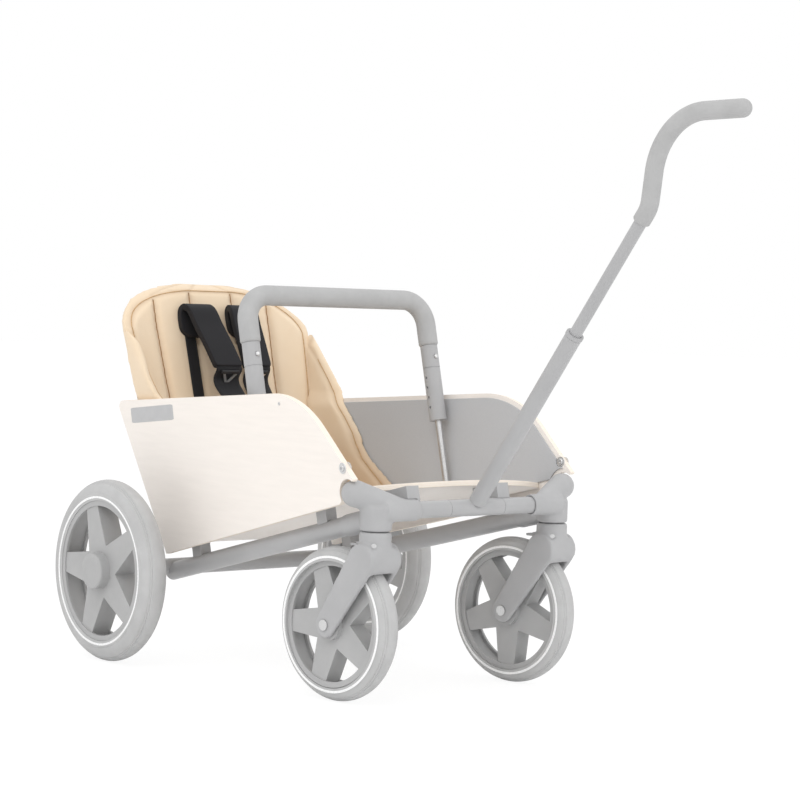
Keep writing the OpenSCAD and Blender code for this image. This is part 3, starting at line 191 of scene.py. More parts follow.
class Finish:
    """One material's node tree, with short ways to add its textures."""

    def __init__(self, name):
        self.material = bpy.data.materials.new(name)
        self.material.use_nodes = True
        self.tree = self.material.node_tree
        self.tree.nodes.clear()
        self.output = self.add("ShaderNodeOutputMaterial")
        self.shader = self.add("ShaderNodeBsdfPrincipled")
        self.join(self.shader.outputs["BSDF"], self.output.inputs["Surface"])
        self.coords = self.add("ShaderNodeTexCoord")

    def add(self, kind, **values):
        node = self.tree.nodes.new(kind)
        for key, value in values.items():
            setattr(node, key, value)
        return node

    def join(self, source, target):
        self.tree.links.new(source, target)

    def set(self, **values):
        for key, value in values.items():
            self.shader.inputs[key.replace("_", " ")].default_value = value
        return self

    def place(self, stretch=(1.0, 1.0, 1.0), turn=(0.0, 0.0, 0.0), source="Object"):
        """Object coordinates, stretched and turned."""
        mapping = self.add("ShaderNodeMapping")
        mapping.inputs["Scale"].default_value = stretch
        mapping.inputs["Rotation"].default_value = turn
        self.join(self.coords.outputs[source], mapping.inputs["Vector"])
        return mapping.outputs["Vector"]

    def noise(self, scale, detail=3.0, rough=0.55, place=None):
        node = self.add("ShaderNodeTexNoise")
        node.inputs["Scale"].default_value = scale
        node.inputs["Detail"].default_value = detail
        node.inputs["Roughness"].default_value = rough
        self.join(place or self.coords.outputs["Object"], node.inputs["Vector"])
        return node.outputs["Fac"]

    def cells(self, scale, place=None):
        node = self.add("ShaderNodeTexVoronoi")
        node.inputs["Scale"].default_value = scale
        self.join(place or self.coords.outputs["Object"], node.inputs["Vector"])
        return node.outputs["Distance"]

    def wave(self, scale, direction, place=None, distortion=0.0):
        node = self.add("ShaderNodeTexWave", bands_direction=direction)
        node.inputs["Scale"].default_value = scale
        node.inputs["Distortion"].default_value = distortion
        self.join(place or self.coords.outputs["Object"], node.inputs["Vector"])
        return node.outputs["Fac"]

    def maths(self, operation, first, second):
        node = self.add("ShaderNodeMath", operation=operation)
        for socket, value in zip(node.inputs, (first, second)):
            if isinstance(value, float):
                socket.default_value = value
            else:
                self.join(value, socket)
        return node.outputs["Value"]

    def spread(self, source, low, high, out_low=0.0, out_high=1.0):
        """A value moved from one span to another, and kept inside it."""
        node = self.add("ShaderNodeMapRange")
        for key, value in (("From Min", low), ("From Max", high), ("To Min", out_low), ("To Max", out_high)):
            node.inputs[key].default_value = value
        self.join(source, node.inputs["Value"])
        return node.outputs["Result"]

    def blend(self, share, first, second):
        """A colour between two colours."""
        node = self.add("ShaderNodeMix", data_type="RGBA")
        self.join(share, node.inputs["Factor"])
        for socket, value in ((node.inputs["A"], first), (node.inputs["B"], second)):
            if hasattr(value, "is_linked"):
                self.join(value, socket)
            else:
                socket.default_value = (*value, 1.0)
        return node.outputs["Result"]

    def colour(self, output):
        self.join(output, self.shader.inputs["Base Color"])
        return self

    def rough(self, output):
        self.join(output, self.shader.inputs["Roughness"])
        return self

    def gloss(self, scale, low, high):
        """Roughness that wanders between two values."""
        return self.rough(self.spread(self.noise(scale), *NOISE_SPAN, low, high))

    def tones(self, share, colour, first, second):
        """Base colour that goes from one tone of a colour to another."""
        return self.colour(self.blend(share, shade(colour, first), shade(colour, second)))

    def bump(self, height, strength, distance):
        node = self.add("ShaderNodeBump")
        node.inputs["Strength"].default_value = strength
        node.inputs["Distance"].default_value = distance
        self.join(height, node.inputs["Height"])
        self.join(node.outputs["Normal"], self.shader.inputs["Normal"])
        return self


def shade(colour, share):
    """A darker or lighter tone of a colour."""
    return tuple(channel * share for channel in colour)


MADE = {}


def finish(name):
    """The finish of that name, made once."""
    if name not in MADE:
        MADE[name] = FINISHES[name](name)
    return MADE[name]


def mottled(made, colour, scale, low, high):
    """Base colour that wanders a little over the surface."""
    cloud = made.noise(scale, detail=4.0)
    made.tones(made.spread(cloud, *CLOUD_SPAN), colour, low, high)


def satin_paint(name):
    """Satin paint of the tubes, with a faint unevenness."""
    made = Finish(name)
    mottled(made, colours().frame_grey, 9.0, 0.95, 1.03)
    made.gloss(60.0, 0.36, 0.48)
    made.bump(made.noise(700.0, detail=2.0), 0.05, 0.0004)
    return made.set(Coat_Weight=0.15, Coat_Roughness=0.3).material


def moulded_grey(name):
    """Grey plastic of the joints, forks and sleeves, with a moulded grain."""
    made = Finish(name)
    mottled(made, colours().plastic_grey, 14.0, 0.95, 1.03)
    made.gloss(90.0, 0.46, 0.6)
    made.bump(made.cells(1500.0), 0.08, 0.0003)
    return made.material


def rim_plastic(name):
    """Grey plastic of the wheels."""
    made = Finish(name)
    mottled(made, colours().rim_grey, 12.0, 0.95, 1.03)
    made.gloss(70.0, 0.42, 0.56)
    made.bump(made.cells(1200.0), 0.07, 0.0003)
    return made.material


def tyre_rubber(name):
    """Dull grey rubber."""
    made = Finish(name)
    mottled(made, colours().tyre_grey, 26.0, 0.93, 1.03)
    made.gloss(140.0, 0.68, 0.84)
    made.bump(made.noise(1400.0, detail=4.0), 0.16, 0.0005)
    return made.material


def ring_lacquer(name):
    """Glossy white of the rings."""
    made = Finish(name)
    mottled(made, colours().ring_white, 30.0, 0.985, 1.0)
    made.gloss(240.0, 0.22, 0.34)
    return made.set(Coat_Weight=0.3, Coat_Roughness=0.15).material


def board_lacquer(name):
    """Cream lacquer with the grain of the face veneer just showing through, along the box."""
    made = Finish(name)
    grain = made.noise(9.0, detail=6.0, rough=0.6, place=made.place(stretch=(1.0, 14.0, 14.0)))
    made.tones(made.spread(grain, 0.35, 0.7), colours().board_cream, 1.0, 0.965)
    made.gloss(40.0, 0.42, 0.54)
    made.bump(grain, 0.06, 0.0005)
    return made.set(Coat_Weight=0.12, Coat_Roughness=0.35).material


PLY_WAVES = 2400.0
PLY_WOBBLE = 0.0012


def ply_edge(name, normal):
    """Cut edge of a plywood board: pale and dark layers across the board's thickness."""
    made = Finish(name)
    across = made.add("ShaderNodeVectorMath", operation="DOT_PRODUCT")
    made.join(made.coords.outputs["Object"], across.inputs[0])
    across.inputs[1].default_value = normal
    wobble = made.maths("MULTIPLY", made.noise(60.0), PLY_WOBBLE)
    depth = made.maths("ADD", across.outputs["Value"], wobble)
    layers = made.maths("SINE", made.maths("MULTIPLY", depth, PLY_WAVES), 0.0)
    fibre = made.noise(220.0, detail=4.0, place=made.place(stretch=(0.25, 1.0, 1.0)))
    striped = made.blend(made.spread(layers, -0.5, 0.5), colours().ply_light, colours().ply_dark)
    made.colour(made.blend(made.spread(fibre, 0.3, 0.7, 0.0, 0.45), striped, colours().ply_light))
    made.bump(made.maths("ADD", layers, fibre), 0.12, 0.0005)
    return made.set(Roughness=0.62).material


def felt_cloth(name):
    """Pressed felt: fine fibres with a few tufts."""
    made = Finish(name)
    fibres = made.noise(900.0, detail=6.0, rough=0.75)
    tufts = made.noise(120.0, detail=4.0)
    made.tones(made.spread(fibres, *NOISE_SPAN), colours().felt_grey, 0.88, 1.07)
    made.bump(made.maths("ADD", fibres, made.maths("MULTIPLY", tufts, 0.6)), 0.3, 0.0012)
    return made.set(Roughness=0.95, Sheen_Weight=0.25, Sheen_Roughness=0.6).material


def foam_skin(name):
    """Closed-cell foam with a dull skin."""
    made = Finish(name)
    cells = made.cells(900.0)
    mottled(made, colours().foam_grey, 35.0, 0.95, 1.03)
    made.gloss(220.0, 0.66, 0.82)
    made.bump(made.maths("ADD", cells, made.noise(260.0)), 0.16, 0.0006)
    return made.material


def seat_cloth(name):
    """Soft woven cover: a fine two-way weave, a warm cloud of shade and a little sheen, with painted shade
    from a mark on the mesh blended in towards brown.
    """
    made = Finish(name)
    weft = made.wave(620.0, "Z")
    warp = made.wave(620.0, "Y")
    weave = made.maths("MULTIPLY", weft, warp)
    cloud = made.spread(made.noise(11.0, detail=5.0), 0.35, 0.75, 0.0, 0.32)
    cloth = made.blend(cloud, colours().seat_tan, colours().seat_shade)
    # Painted shade: a mark on the mesh darkens the cloth towards brown in the sewn channels and low on the
    # wings
    dark = made.add("ShaderNodeAttribute", attribute_name="painted_shade")
    thread = made.blend(made.spread(weave, 0.0, 1.0, 0.09, 0.0), cloth, colours().seat_shade)
    made.colour(made.blend(dark.outputs["Fac"], thread, colours().thread_and_shade_brown))
    made.gloss(90.0, 0.68, 0.82)
    made.bump(made.maths("ADD", weave, made.maths("MULTIPLY", made.noise(70.0), 0.8)), 0.14, 0.0006)
    return made.set(Sheen_Weight=0.2, Sheen_Roughness=0.5).material


def thread(name, colour):
    """Twisted sewing thread."""
    made = Finish(name)
    mottled(made, colour, 300.0, 0.85, 1.15)
    made.bump(made.wave(1600.0, "DIAGONAL"), 0.3, 0.0003)
    return made.set(Roughness=0.7).material


def harness_weave(name):
    """Black webbing: ribs across its length, a finer thread along it, on the strap's own map."""
    made = Finish(name)
    ribs = made.wave(0.5, "Y", place=made.place(stretch=(1.0, 700.0, 1.0), source="UV"))
    threads = made.wave(0.5, "X", place=made.place(stretch=(420.0, 1.0, 1.0), source="UV"))
    weave = made.maths("ADD", ribs, threads)
    made.tones(made.spread(weave, 0.3, 1.7), colours().harness_black, 0.55, 1.5)
    made.bump(weave, 0.35, 0.0005)
    return made.set(Roughness=0.78, Sheen_Weight=0.05).material


def pad_cloth(name):
    """Black spacer cloth of the shoulder pads: small dimples in rows."""
    made = Finish(name)
    dimples = made.cells(480.0)
    made.tones(made.spread(dimples, 0.0, 0.6), colours().harness_black, 0.75, 1.3)
    made.bump(made.maths("ADD", dimples, made.noise(160.0)), 0.22, 0.0006)
    return made.set(Roughness=0.85, Sheen_Weight=0.05).material


def buckle_plastic(name):
    """Black plastic of the harness."""
    made = Finish(name)
    mottled(made, colours().buckle_black, 60.0, 0.85, 1.25)
    made.gloss(120.0, 0.32, 0.46)
    made.bump(made.cells(1400.0), 0.08, 0.0003)
    return made.material


def brushed_steel(name):
    """Steel with fine lines drawn along it."""
    made = Finish(name)
    lines = made.noise(60.0, detail=5.0, place=made.place(stretch=(30.0, 30.0, 1.0)))
    made.tones(lines, colours().steel, 0.9, 1.05)
    made.rough(made.spread(lines, *NOISE_SPAN, 0.24, 0.4))
    made.bump(lines, 0.05, 0.0002)
    return made.set(Metallic=0.85).material


def sticker_film(name):
    """Plain grey film under a thin coat."""
    made = Finish(name)
    mottled(made, colours().sticker_grey, 50.0, 0.97, 1.03)
    made.gloss(200.0, 0.36, 0.5)
    return made.set(Coat_Weight=0.2).material


def panel_axis(side, axis):
    """A side panel's own direction: 0 along it, 1 out of its outer face, 2 up it."""
    turn = Matrix.Rotation(PANEL_TOE, 3, "Z") @ Matrix.Rotation(-PANEL_SPLAY, 3, "X")
    direction = turn.col[axis].copy()
    direction.y *= side
    return direction


FINISHES = {
    "satin_paint": satin_paint,
    "moulded_grey": moulded_grey,
    "rim_plastic": rim_plastic,
    "tyre_rubber": tyre_rubber,
    "ring_lacquer": ring_lacquer,
    "board_lacquer": board_lacquer,
    "ply_edge_right": lambda name: ply_edge(name, panel_axis(SIDES["right"], 1)),
    "ply_edge_left": lambda name: ply_edge(name, panel_axis(SIDES["left"], 1)),
    "ply_edge_floor": lambda name: ply_edge(name, BAR_AXIS),
    "ply_edge_rear": lambda name: ply_edge(name, REAR_NORMAL),
    "felt_cloth": felt_cloth,
    "foam_skin": foam_skin,
    "seat_cloth": seat_cloth,
    "thread_brown": lambda name: thread(name, colours().thread_and_shade_brown),
    "thread_tan": lambda name: thread(name, colours().seam_tan),
    "harness_weave": harness_weave,
    "pad_cloth": pad_cloth,
    "buckle_plastic": buckle_plastic,
    "brushed_steel": brushed_steel,
    "sticker_film": sticker_film,
}


# Piece building

def object_of(name, mesh):
    """An object in the scene that shows a mesh."""
    piece = bpy.data.objects.new(name, mesh)
    bpy.context.scene.collection.objects.link(piece)
    return piece


def soften_shading(bm):
    """Smooth faces that stay sharp at their sharp edges."""
    for face in bm.faces:
        face.smooth = True
    for edge in bm.edges:
        edge.smooth = edge.calc_face_angle(0.0) < SMOOTH_ANGLE


def made_piece(name, bm, finishes, closed=True):
    """An object from a finished bmesh, with its normals outwards and its sharp edges marked."""
    if closed:
        bmesh.ops.remove_doubles(bm, verts=bm.verts[:], dist=TOUCHING)
        bmesh.ops.recalc_face_normals(bm, faces=bm.faces[:])
    soften_shading(bm)
    mesh = bpy.data.meshes.new(name)
    bm.to_mesh(mesh)
    bm.free()
    for name_of_finish in finishes:
        mesh.materials.append(finish(name_of_finish))
    return object_of(name, mesh)


def settle(piece, body, slot, *nodes):
    """Lets a piece ride on its body and stand for the nodes it replaces; the slot is not used."""
    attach(piece, body)
    if nodes:
        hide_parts(*nodes)
    return piece


def rounded(piece, width, segments=2):
    """Rounds a piece's sharp edges."""
    bevel = piece.modifiers.new("Rounded edges", "BEVEL")
    bevel.width = width
    bevel.segments = segments
    bevel.limit_method = "ANGLE"
    bevel.angle_limit = SMOOTH_ANGLE
    bevel.use_clamp_overlap = True
    bevel.harden_normals = True
    return piece


def refined(node, finish_name, slot, width):
    """A copy of a solid with its flats joined and its edges rounded, standing for it."""
    source = NODES[node]
    bm = bmesh.new()
    bm.from_mesh(source.data)
    bmesh.ops.remove_doubles(bm, verts=bm.verts[:], dist=TOUCHING)
    bmesh.ops.dissolve_limit(bm, angle_limit=FLAT_ANGLE, verts=bm.verts[:], edges=bm.edges[:],
                             use_dissolve_boundaries=False)
    piece = made_piece(node + "_finished", bm, [finish_name], closed=False)
    rounded(piece, width)
    return settle(piece, source["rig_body"], slot, node)


def repaint(node, finish_name):
    """Gives a solid whose shape is right its finish."""
    mesh = NODES[node].data
    mesh.materials.clear()
    mesh.materials.append(finish(finish_name))


def turned(name, outline, centre, axis, finishes, closed_loop=False, steps=None):
    """A turned piece: an outline of (radius, height) spun round an axis."""
    axis = Vector(axis).normalized()
    radial = axis.orthogonal().normalized()
    bm = bmesh.new()
    verts = [bm.verts.new(centre + radial * radius + axis * height) for radius, height in outline]
    ends = verts[1:] + verts[:1] if closed_loop else verts[1:]
    edges = [bm.edges.new(pair) for pair in zip(verts, ends)]
    bmesh.ops.spin(bm, geom=verts + edges, cent=centre, axis=axis, angle=FULL_TURN,
                   steps=steps or sizes().round_steps, use_merge=True)
    return made_piece(name, bm, finishes)


def arc(centre, radius, start, end, count):
    """Points of an arc in an outline's plane, angles in degrees."""
    points = []
    for step in range(count + 1):
        angle = math.radians(start + (end - start) * step / count)
        points.append((centre[0] + radius * math.cos(angle), centre[1] + radius * math.sin(angle)))
    return points


def ring_of(bm, centre, direction, radius, count):
    """A circle of edges across a direction, to be drawn out into a tube."""
    turn = direction.to_track_quat("Z", "Y").to_matrix().to_4x4()
    place = Matrix.Translation(centre) @ turn
    made = bmesh.ops.create_circle(bm, segments=count, radius=radius, matrix=place)
    return list({edge for vert in made["verts"] for edge in vert.link_edges})


def verts_of(edges):
    """The vertices that some edges join."""
    return list({vert for edge in edges for vert in edge.verts})


def draw_out(bm, edges, offset, scale=1.0, steps=1):
    """Extrudes a ring along an offset, scaling it about its middle."""
    for _ in range(steps):
        made = bmesh.ops.extrude_edge_only(bm, edges=edges)["geom"]
        verts = [part for part in made if isinstance(part, bmesh.types.BMVert)]
        fresh = set(verts)
        edges = [part for part in made if isinstance(part, bmesh.types.BMEdge) and set(part.verts) <= fresh]
        bmesh.ops.translate(bm, verts=verts, vec=offset / steps)
        middle = sum((vert.co for vert in verts), Vector()) / len(verts)
        bmesh.ops.scale(bm, verts=verts, vec=(scale,) * 3, space=Matrix.Translation(-middle))
    return edges


def bend_round(bm, edges, centre, axis, angle, steps):
    """Spins a ring round a bend."""
    geom = verts_of(edges) + edges
    made = bmesh.ops.spin(bm, geom=geom, cent=centre, axis=axis, angle=angle, steps=steps)
    return [part for part in made["geom_last"] if isinstance(part, bmesh.types.BMEdge)]


def close_end(bm, edges):
    """Closes a ring with a flat end."""
    bmesh.ops.edgeloop_fill(bm, edges=edges)


def rolled_out(bm, edges, heading, rolls):
    """Draws a ring out through the steps of a rolled edge, each a distance and a scale."""
    for offset, scale in rolls:
        edges = draw_out(bm, edges, heading * offset, scale)
    return edges


def dome_end(bm, edges, direction, radius, steps):
    """Closes a ring with a round end."""
    scale_before = 1.0
    height_before = 0.0
    for step in range(1, steps):
        angle = math.pi / 2.0 * step / steps
        height = radius * math.sin(angle)
        scale = math.cos(angle)
        edges = draw_out(bm, edges, direction * (height - height_before), scale / scale_before)
        scale_before = scale
        height_before = height
    close_end(bm, edges)


# Frame

JOINT_ROUNDS = 14
FORK_ROUNDS = 12
TUBE_STEPS = 56


def moulded(node, rounds):
    """A copy of a grey moulding, with its edges and inner corners run together, standing for it."""
    piece = even_copy(node, node + "_moulded", "moulded_grey", sizes().moulding_voxel)
    relax(piece, rounds)
    return settle(piece, NODES[node]["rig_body"], "grey_plastic", node)


def round_tube(name, start, end, radius, finish_name, hollow=0.0):
    """A straight round tube or bar with softened ends."""
    axis = end - start
    length = axis.length
    soft = sizes().edge_round / 2.0
    outline = [(hollow, 0.0), (radius - soft, 0.0), (radius, soft), (radius, length - soft),
               (radius - soft, length), (hollow, length)]
    return turned(name, outline, start, axis, [finish_name], closed_loop=hollow > 0.0, steps=TUBE_STEPS)


CROSS_TUBE = 0.014
RAIL_RADIUS = 0.016
# The left rail's ends, along the wagon from the rear axle
RAIL_REAR = Vector((0.0, 0.165, 0.1513))
RAIL_FRONT = Vector((0.578, 0.1916, 0.2939))


def cross_ends(low, high):
    """Middles of the two ends of a box that lies across the wagon."""
    middle = (low + high) / 2.0
    return Vector((middle.x, low.y, middle.z)), Vector((middle.x, high.y, middle.z))


def rails_and_tubes(label, side):
    """The front tube and the side rail of one side, along their solids' axes."""
    low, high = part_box("front_tube_" + label)
    near, far = cross_ends(low, high)
    settle(round_tube("front_tube_drawn_" + label, near, far, CROSS_TUBE, "satin_paint"),
           "chassis", "frame_paint", "front_tube_" + label)
    rear, front = (Vector((REAR_AXLE_X + point.x, side * point.y, point.z))
                   for point in (RAIL_REAR, RAIL_FRONT))
    settle(round_tube("side_rail_drawn_" + label, rear, front, RAIL_RADIUS, "satin_paint"),
           "chassis", "frame_paint", "side_rail_" + label)


class WAGON_OT_chassis(bpy.types.Operator):
    """Draws the tubes and runs together the moulded joints of the chassis"""

    bl_idname = "wagon.chassis"
    bl_label = "Chassis"

    def execute(self, context):
        for label, side in SIDES.items():
            rails_and_tubes(label, side)
            moulded("corner_joint_" + label, JOINT_ROUNDS)
        low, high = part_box("rear_axle_beam")
        near, far = cross_ends(low, high)
        beam = round_tube("rear_axle_beam_drawn", near, far, (high.z - low.z) / 2.0, "satin_paint")
        settle(beam, "chassis", "frame_paint", "rear_axle_beam")
        refined("floor_clips", "moulded_grey", "grey_plastic", sizes().edge_round)
        for shaft in ("rear_axle_shaft", "handle_pivot_shaft"):
            repaint(shaft, "brushed_steel")
        return {"FINISHED"}


# Box

FACE_ON = 0.9


def board(node, edge_finish, normal):
    """A plywood board: lacquered faces, layered cut edges and a small rounding."""
    piece = refined(node, "board_lacquer", "plywood", sizes().board_round)
    piece.data.materials.append(finish(edge_finish))
    for polygon in piece.data.polygons:
        polygon.material_index = 0 if abs(polygon.normal.dot(normal)) > FACE_ON else 1
    return piece


def panel_point(side, along, out, up):
    """A point in a side panel's own frame: along it, out from its inner face, up it."""
    point = Vector((0.0, 0.0, 0.0))
    for axis, amount in enumerate((along, out, up)):
        point += panel_axis(1.0, axis) * amount
    point += PANEL_CORNER
    point.y *= side
    return point


STICKER_CENTRE = (-0.0232, 0.2515)
STICKER_SIZE = (0.149, 0.0275)
STICKER_TURN = math.radians(5.5)
STICKER_LIFT = 0.0004
STICKER_ROUND = 0.002
PANEL_BOLT = (0.565, 0.196)
PANEL_STUD = (0.392, 0.290)
BOLT_FORM = {"head": 0.0055, "washer": 0.009, "height": 0.0033}
STUD_FORM = {"head": 0.0024, "washer": 0.0031, "height": 0.0012}
FASTENER_STEPS = 32


def sticker():
    """A plain film sticker on the right panel's outer face."""
    side = SIDES["right"]
    bm = bmesh.new()
    bmesh.ops.create_grid(bm, x_segments=1, y_segments=1, size=0.5)
    bmesh.ops.bevel(bm, geom=bm.verts[:], affect="VERTICES", offset=STICKER_ROUND / STICKER_SIZE[1],
                    segments=4, profile=0.5, material=-1)
    for vert in bm.verts:
        along = vert.co.x * STICKER_SIZE[0]
        up = vert.co.y * STICKER_SIZE[1]
        turned_along = along * math.cos(STICKER_TURN) - up * math.sin(STICKER_TURN)
        turned_up = along * math.sin(STICKER_TURN) + up * math.cos(STICKER_TURN)
        vert.co = panel_point(side, STICKER_CENTRE[0] + turned_along, PANEL_THICKNESS + STICKER_LIFT / 2.0,
                              STICKER_CENTRE[1] + turned_up)
    bmesh.ops.recalc_face_normals(bm, faces=bm.faces[:])
    bmesh.ops.solidify(bm, geom=bm.faces[:], thickness=STICKER_LIFT)
    return settle(made_piece("plain_sticker", bm, ["sticker_film"]), "chassis", "grey_plastic")


def bolt_outline(head, washer, height):
    """Outline of a washer with a domed head that has a socket in it."""
    sunk = -height * 0.1
    washer_top = height * 0.34
    dome = height * 0.4
    socket = head * 0.42
    socket_floor = height * 0.45
    return ([(0.0, sunk), (washer, sunk), (washer, height * 0.22), (washer - height * 0.12, washer_top),
             (head, washer_top)]
            + arc((head - dome, height - dome), dome, 0.0, 90.0, 5)
            + [(socket, height), (socket, socket_floor), (0.0, socket_floor)])


def panel_bolts():
    """Washered bolts through each panel's nose and small screws near its top."""
    for label, side in SIDES.items():
        out = panel_axis(side, 1)
        for name, place, direction, depth, form in (
                ("bolt_outer", PANEL_BOLT, out, PANEL_THICKNESS, BOLT_FORM),
                ("bolt_inner", PANEL_BOLT, -out, 0.0, BOLT_FORM),
                ("stud", PANEL_STUD, out, PANEL_THICKNESS, STUD_FORM)):
            centre = panel_point(side, place[0], depth, place[1])
            piece = turned("panel_" + name + "_" + label, bolt_outline(**form), centre, direction,
                           ["brushed_steel"], steps=FASTENER_STEPS)
            settle(piece, "chassis", "steel")
    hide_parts("panel_bolts")


class WAGON_OT_box(bpy.types.Operator):
    """Finishes the boards, the felt lining, the bolts and the plain sticker of the box"""

    bl_idname = "wagon.box"
    bl_label = "Box"

    def execute(self, context):
        board("floor_panel", "ply_edge_floor", BAR_AXIS)
        board("rear_panel", "ply_edge_rear", REAR_NORMAL)
        for label, side in SIDES.items():
            board("side_panel_" + label, "ply_edge_" + label, panel_axis(side, 1))
            refined("felt_liner_" + label, "felt_cloth", "felt", sizes().board_round / 2.0)
        panel_bolts()
        sticker()
        return {"FINISHED"}


# Wheels

TYRE_SEAT = 0.006
TYRE_STEPS = 56
TREAD_FULLNESS = 0.94
TREAD_REACH = 0.2
TREAD_LINES = (-0.62, -0.5, 0.5, 0.62)
TREAD_LINE_WIDTH = 0.035
RING_SUNK = 0.0012
RING_FLATNESS = 0.35
RIM_ROUND = 1.4


def tyre_outline(outer, width, ring):
    """Cross-section of a tyre: a full round tread with fine grooves, down to the seat on the rim."""
    half = width / 2.0
    middle = outer - half
    reach = math.degrees(math.asin((middle - ring + TYRE_SEAT) / half))
    points = []
    for step in range(TYRE_STEPS + 1):
        angle = math.radians(-90.0 - reach + (180.0 + 2.0 * reach) * step / TYRE_STEPS)
        outward = math.cos(angle)
        across = math.sin(angle)
        radius = half
        if outward > 0.0:
            radius *= TREAD_FULLNESS + (1.0 - TREAD_FULLNESS) * math.sqrt(outward)
        if outward > TREAD_REACH:
            radius -= sizes().tread_groove * sum(math.exp(-((across - line) / TREAD_LINE_WIDTH) ** 2)
                                                 for line in TREAD_LINES)
        points.append((middle + radius * outward, radius * across))
    return points


def ring_outline(ring, width, face):
    """Cross-section of a white ring: a low rounded band on the tyre's wall."""
    half = width / 2.0
    points = arc((ring, face), half, 0.0, 180.0, 8)
    points += [(ring - half, face - RING_SUNK), (ring + half, face - RING_SUNK)]
    return [(radius, face + (height - face) * RING_FLATNESS) for radius, height in points]


# Turns of the right wheels' rims about the wagon's cross axis, which set where their spokes stand
RIM_TURNS = {("rear", "right"): math.radians(-16.0), ("front", "right"): math.radians(-21.0)}


def wheel(kind, label, centre, axis, outer, width, ring, body):
    """Tyre, white rings and finished rim of one wheel."""
    name = kind + "_{}_" + label
    half = width / 2.0
    face = math.sqrt(half ** 2 - (ring - outer + half) ** 2)
    tyre = turned(name.format("tyre_finished"), tyre_outline(outer, width, ring), centre, axis,
                  ["tyre_rubber"], closed_loop=True)
    settle(tyre, body, "tyre", name.format("tyre"))
    rings = []
    for place, flip in (("inner", -1.0), ("outer", 1.0)):
        outline = ring_outline(ring, sizes().ring_width, face)
        rings.append(turned(name.format("ring_finished") + "_" + place, outline, centre, axis * flip,
                            ["ring_lacquer"], closed_loop=True))
        settle(rings[-1], body, "white_ring")
    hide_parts(name.format("rings"))
    rim = refined(name.format("rim"), "rim_plastic", "wheel_plastic", sizes().edge_round * RIM_ROUND)
    turn = Matrix.Rotation(RIM_TURNS.get((kind, label), 0.0), 4, ACROSS)
    rim.data.transform(Matrix.Translation(centre) @ turn @ Matrix.Translation(-centre))
    refined(name.format("bearings"), "brushed_steel", "steel", sizes().edge_round / 3.0)


def cap_outline(radius, height):
    """Rear hub cap: a low dome with a raised rim and a shallow dish."""
    return ([(0.0, 0.0), (radius, 0.0), (radius, height * 0.45)]
            + arc((radius - height * 0.5, height * 0.45), height * 0.5, 0.0, 80.0, 6)
            + [(radius * 0.62, height * 0.98), (radius * 0.56, height * 0.86), (0.0, height * 0.86)])


class WAGON_OT_wheels(bpy.types.Operator):
    """Builds the tyres, white rings, rims and hub caps of the four wheels"""

    bl_idname = "wagon.wheels"
    bl_label = "Wheels"

    def execute(self, context):
        for label, side in SIDES.items():
            for kind, joint, width, ring in (
                    ("rear", "rear_spin_", sizes().rear_tyre_width, sizes().rear_ring),
                    ("front", "front_spin_", sizes().front_tyre_width, sizes().front_ring)):
                data = JOINTS[joint + label]
                centre = Vector(data["pos_m"])
                axis = Vector(data["axis"]) * side
                wheel(kind, label, centre, axis, centre.z, width, ring, data["child"])
            low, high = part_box("rear_hub_cap_" + label)
            base = low if side > 0.0 else high
            centre = Vector(((low.x + high.x) / 2.0, base.y, (low.z + high.z) / 2.0))
            outline = cap_outline((high.x - low.x) / 2.0, high.y - low.y)
            cap = turned("rear_hub_cap_finished_" + label, outline, centre, ACROSS * side, ["rim_plastic"])
            settle(cap, "rear_wheel_" + label, "wheel_plastic", "rear_hub_cap_" + label)
        return {"FINISHED"}


# Casters

class WAGON_OT_casters(bpy.types.Operator):
    """Finishes the forks, stems, bolts and swivel locks of the casters"""

    bl_idname = "wagon.casters"
    bl_label = "Casters"

    def execute(self, context):
        edge = sizes().edge_round
        for label in SIDES:
            moulded("caster_fork_" + label, FORK_ROUNDS)
            refined("swivel_lock_" + label, "moulded_grey", "grey_plastic", edge)
            refined("caster_bolts_" + label, "brushed_steel", "steel", edge * 0.7)
            repaint("caster_stem_" + label, "brushed_steel")
        return {"FINISHED"}


# Pull handle

HUB_HALF = 0.058
LOWER_TUBE = 0.014
LOWER_TUBE_BORE = 0.0115
LOWER_TUBE_START = 0.0125
LOWER_TUBE_END = 0.360
UPPER_TUBE = 0.010
UPPER_TUBE_START = 0.230
UPPER_TUBE_END = 0.592
GRIP_START = 0.584
GRIP_FOOT = 0.015
GRIP_LIFT = math.radians(30.0)
GRIP_LIFT_RADIUS = 0.043
GRIP_MIDDLE = 0.042
GRIP_TOP_RADIUS = 0.100
GRIP_END = 0.072
GRIP_SIDES = 40
# Share of the grip's radius at its mouth, then the steps of its rolled edge: a distance and a scale
GRIP_MOUTH = 0.8
GRIP_ROLLS = ((0.0004, 1.18), (0.0014, 1.0 / (GRIP_MOUTH * 1.18)))


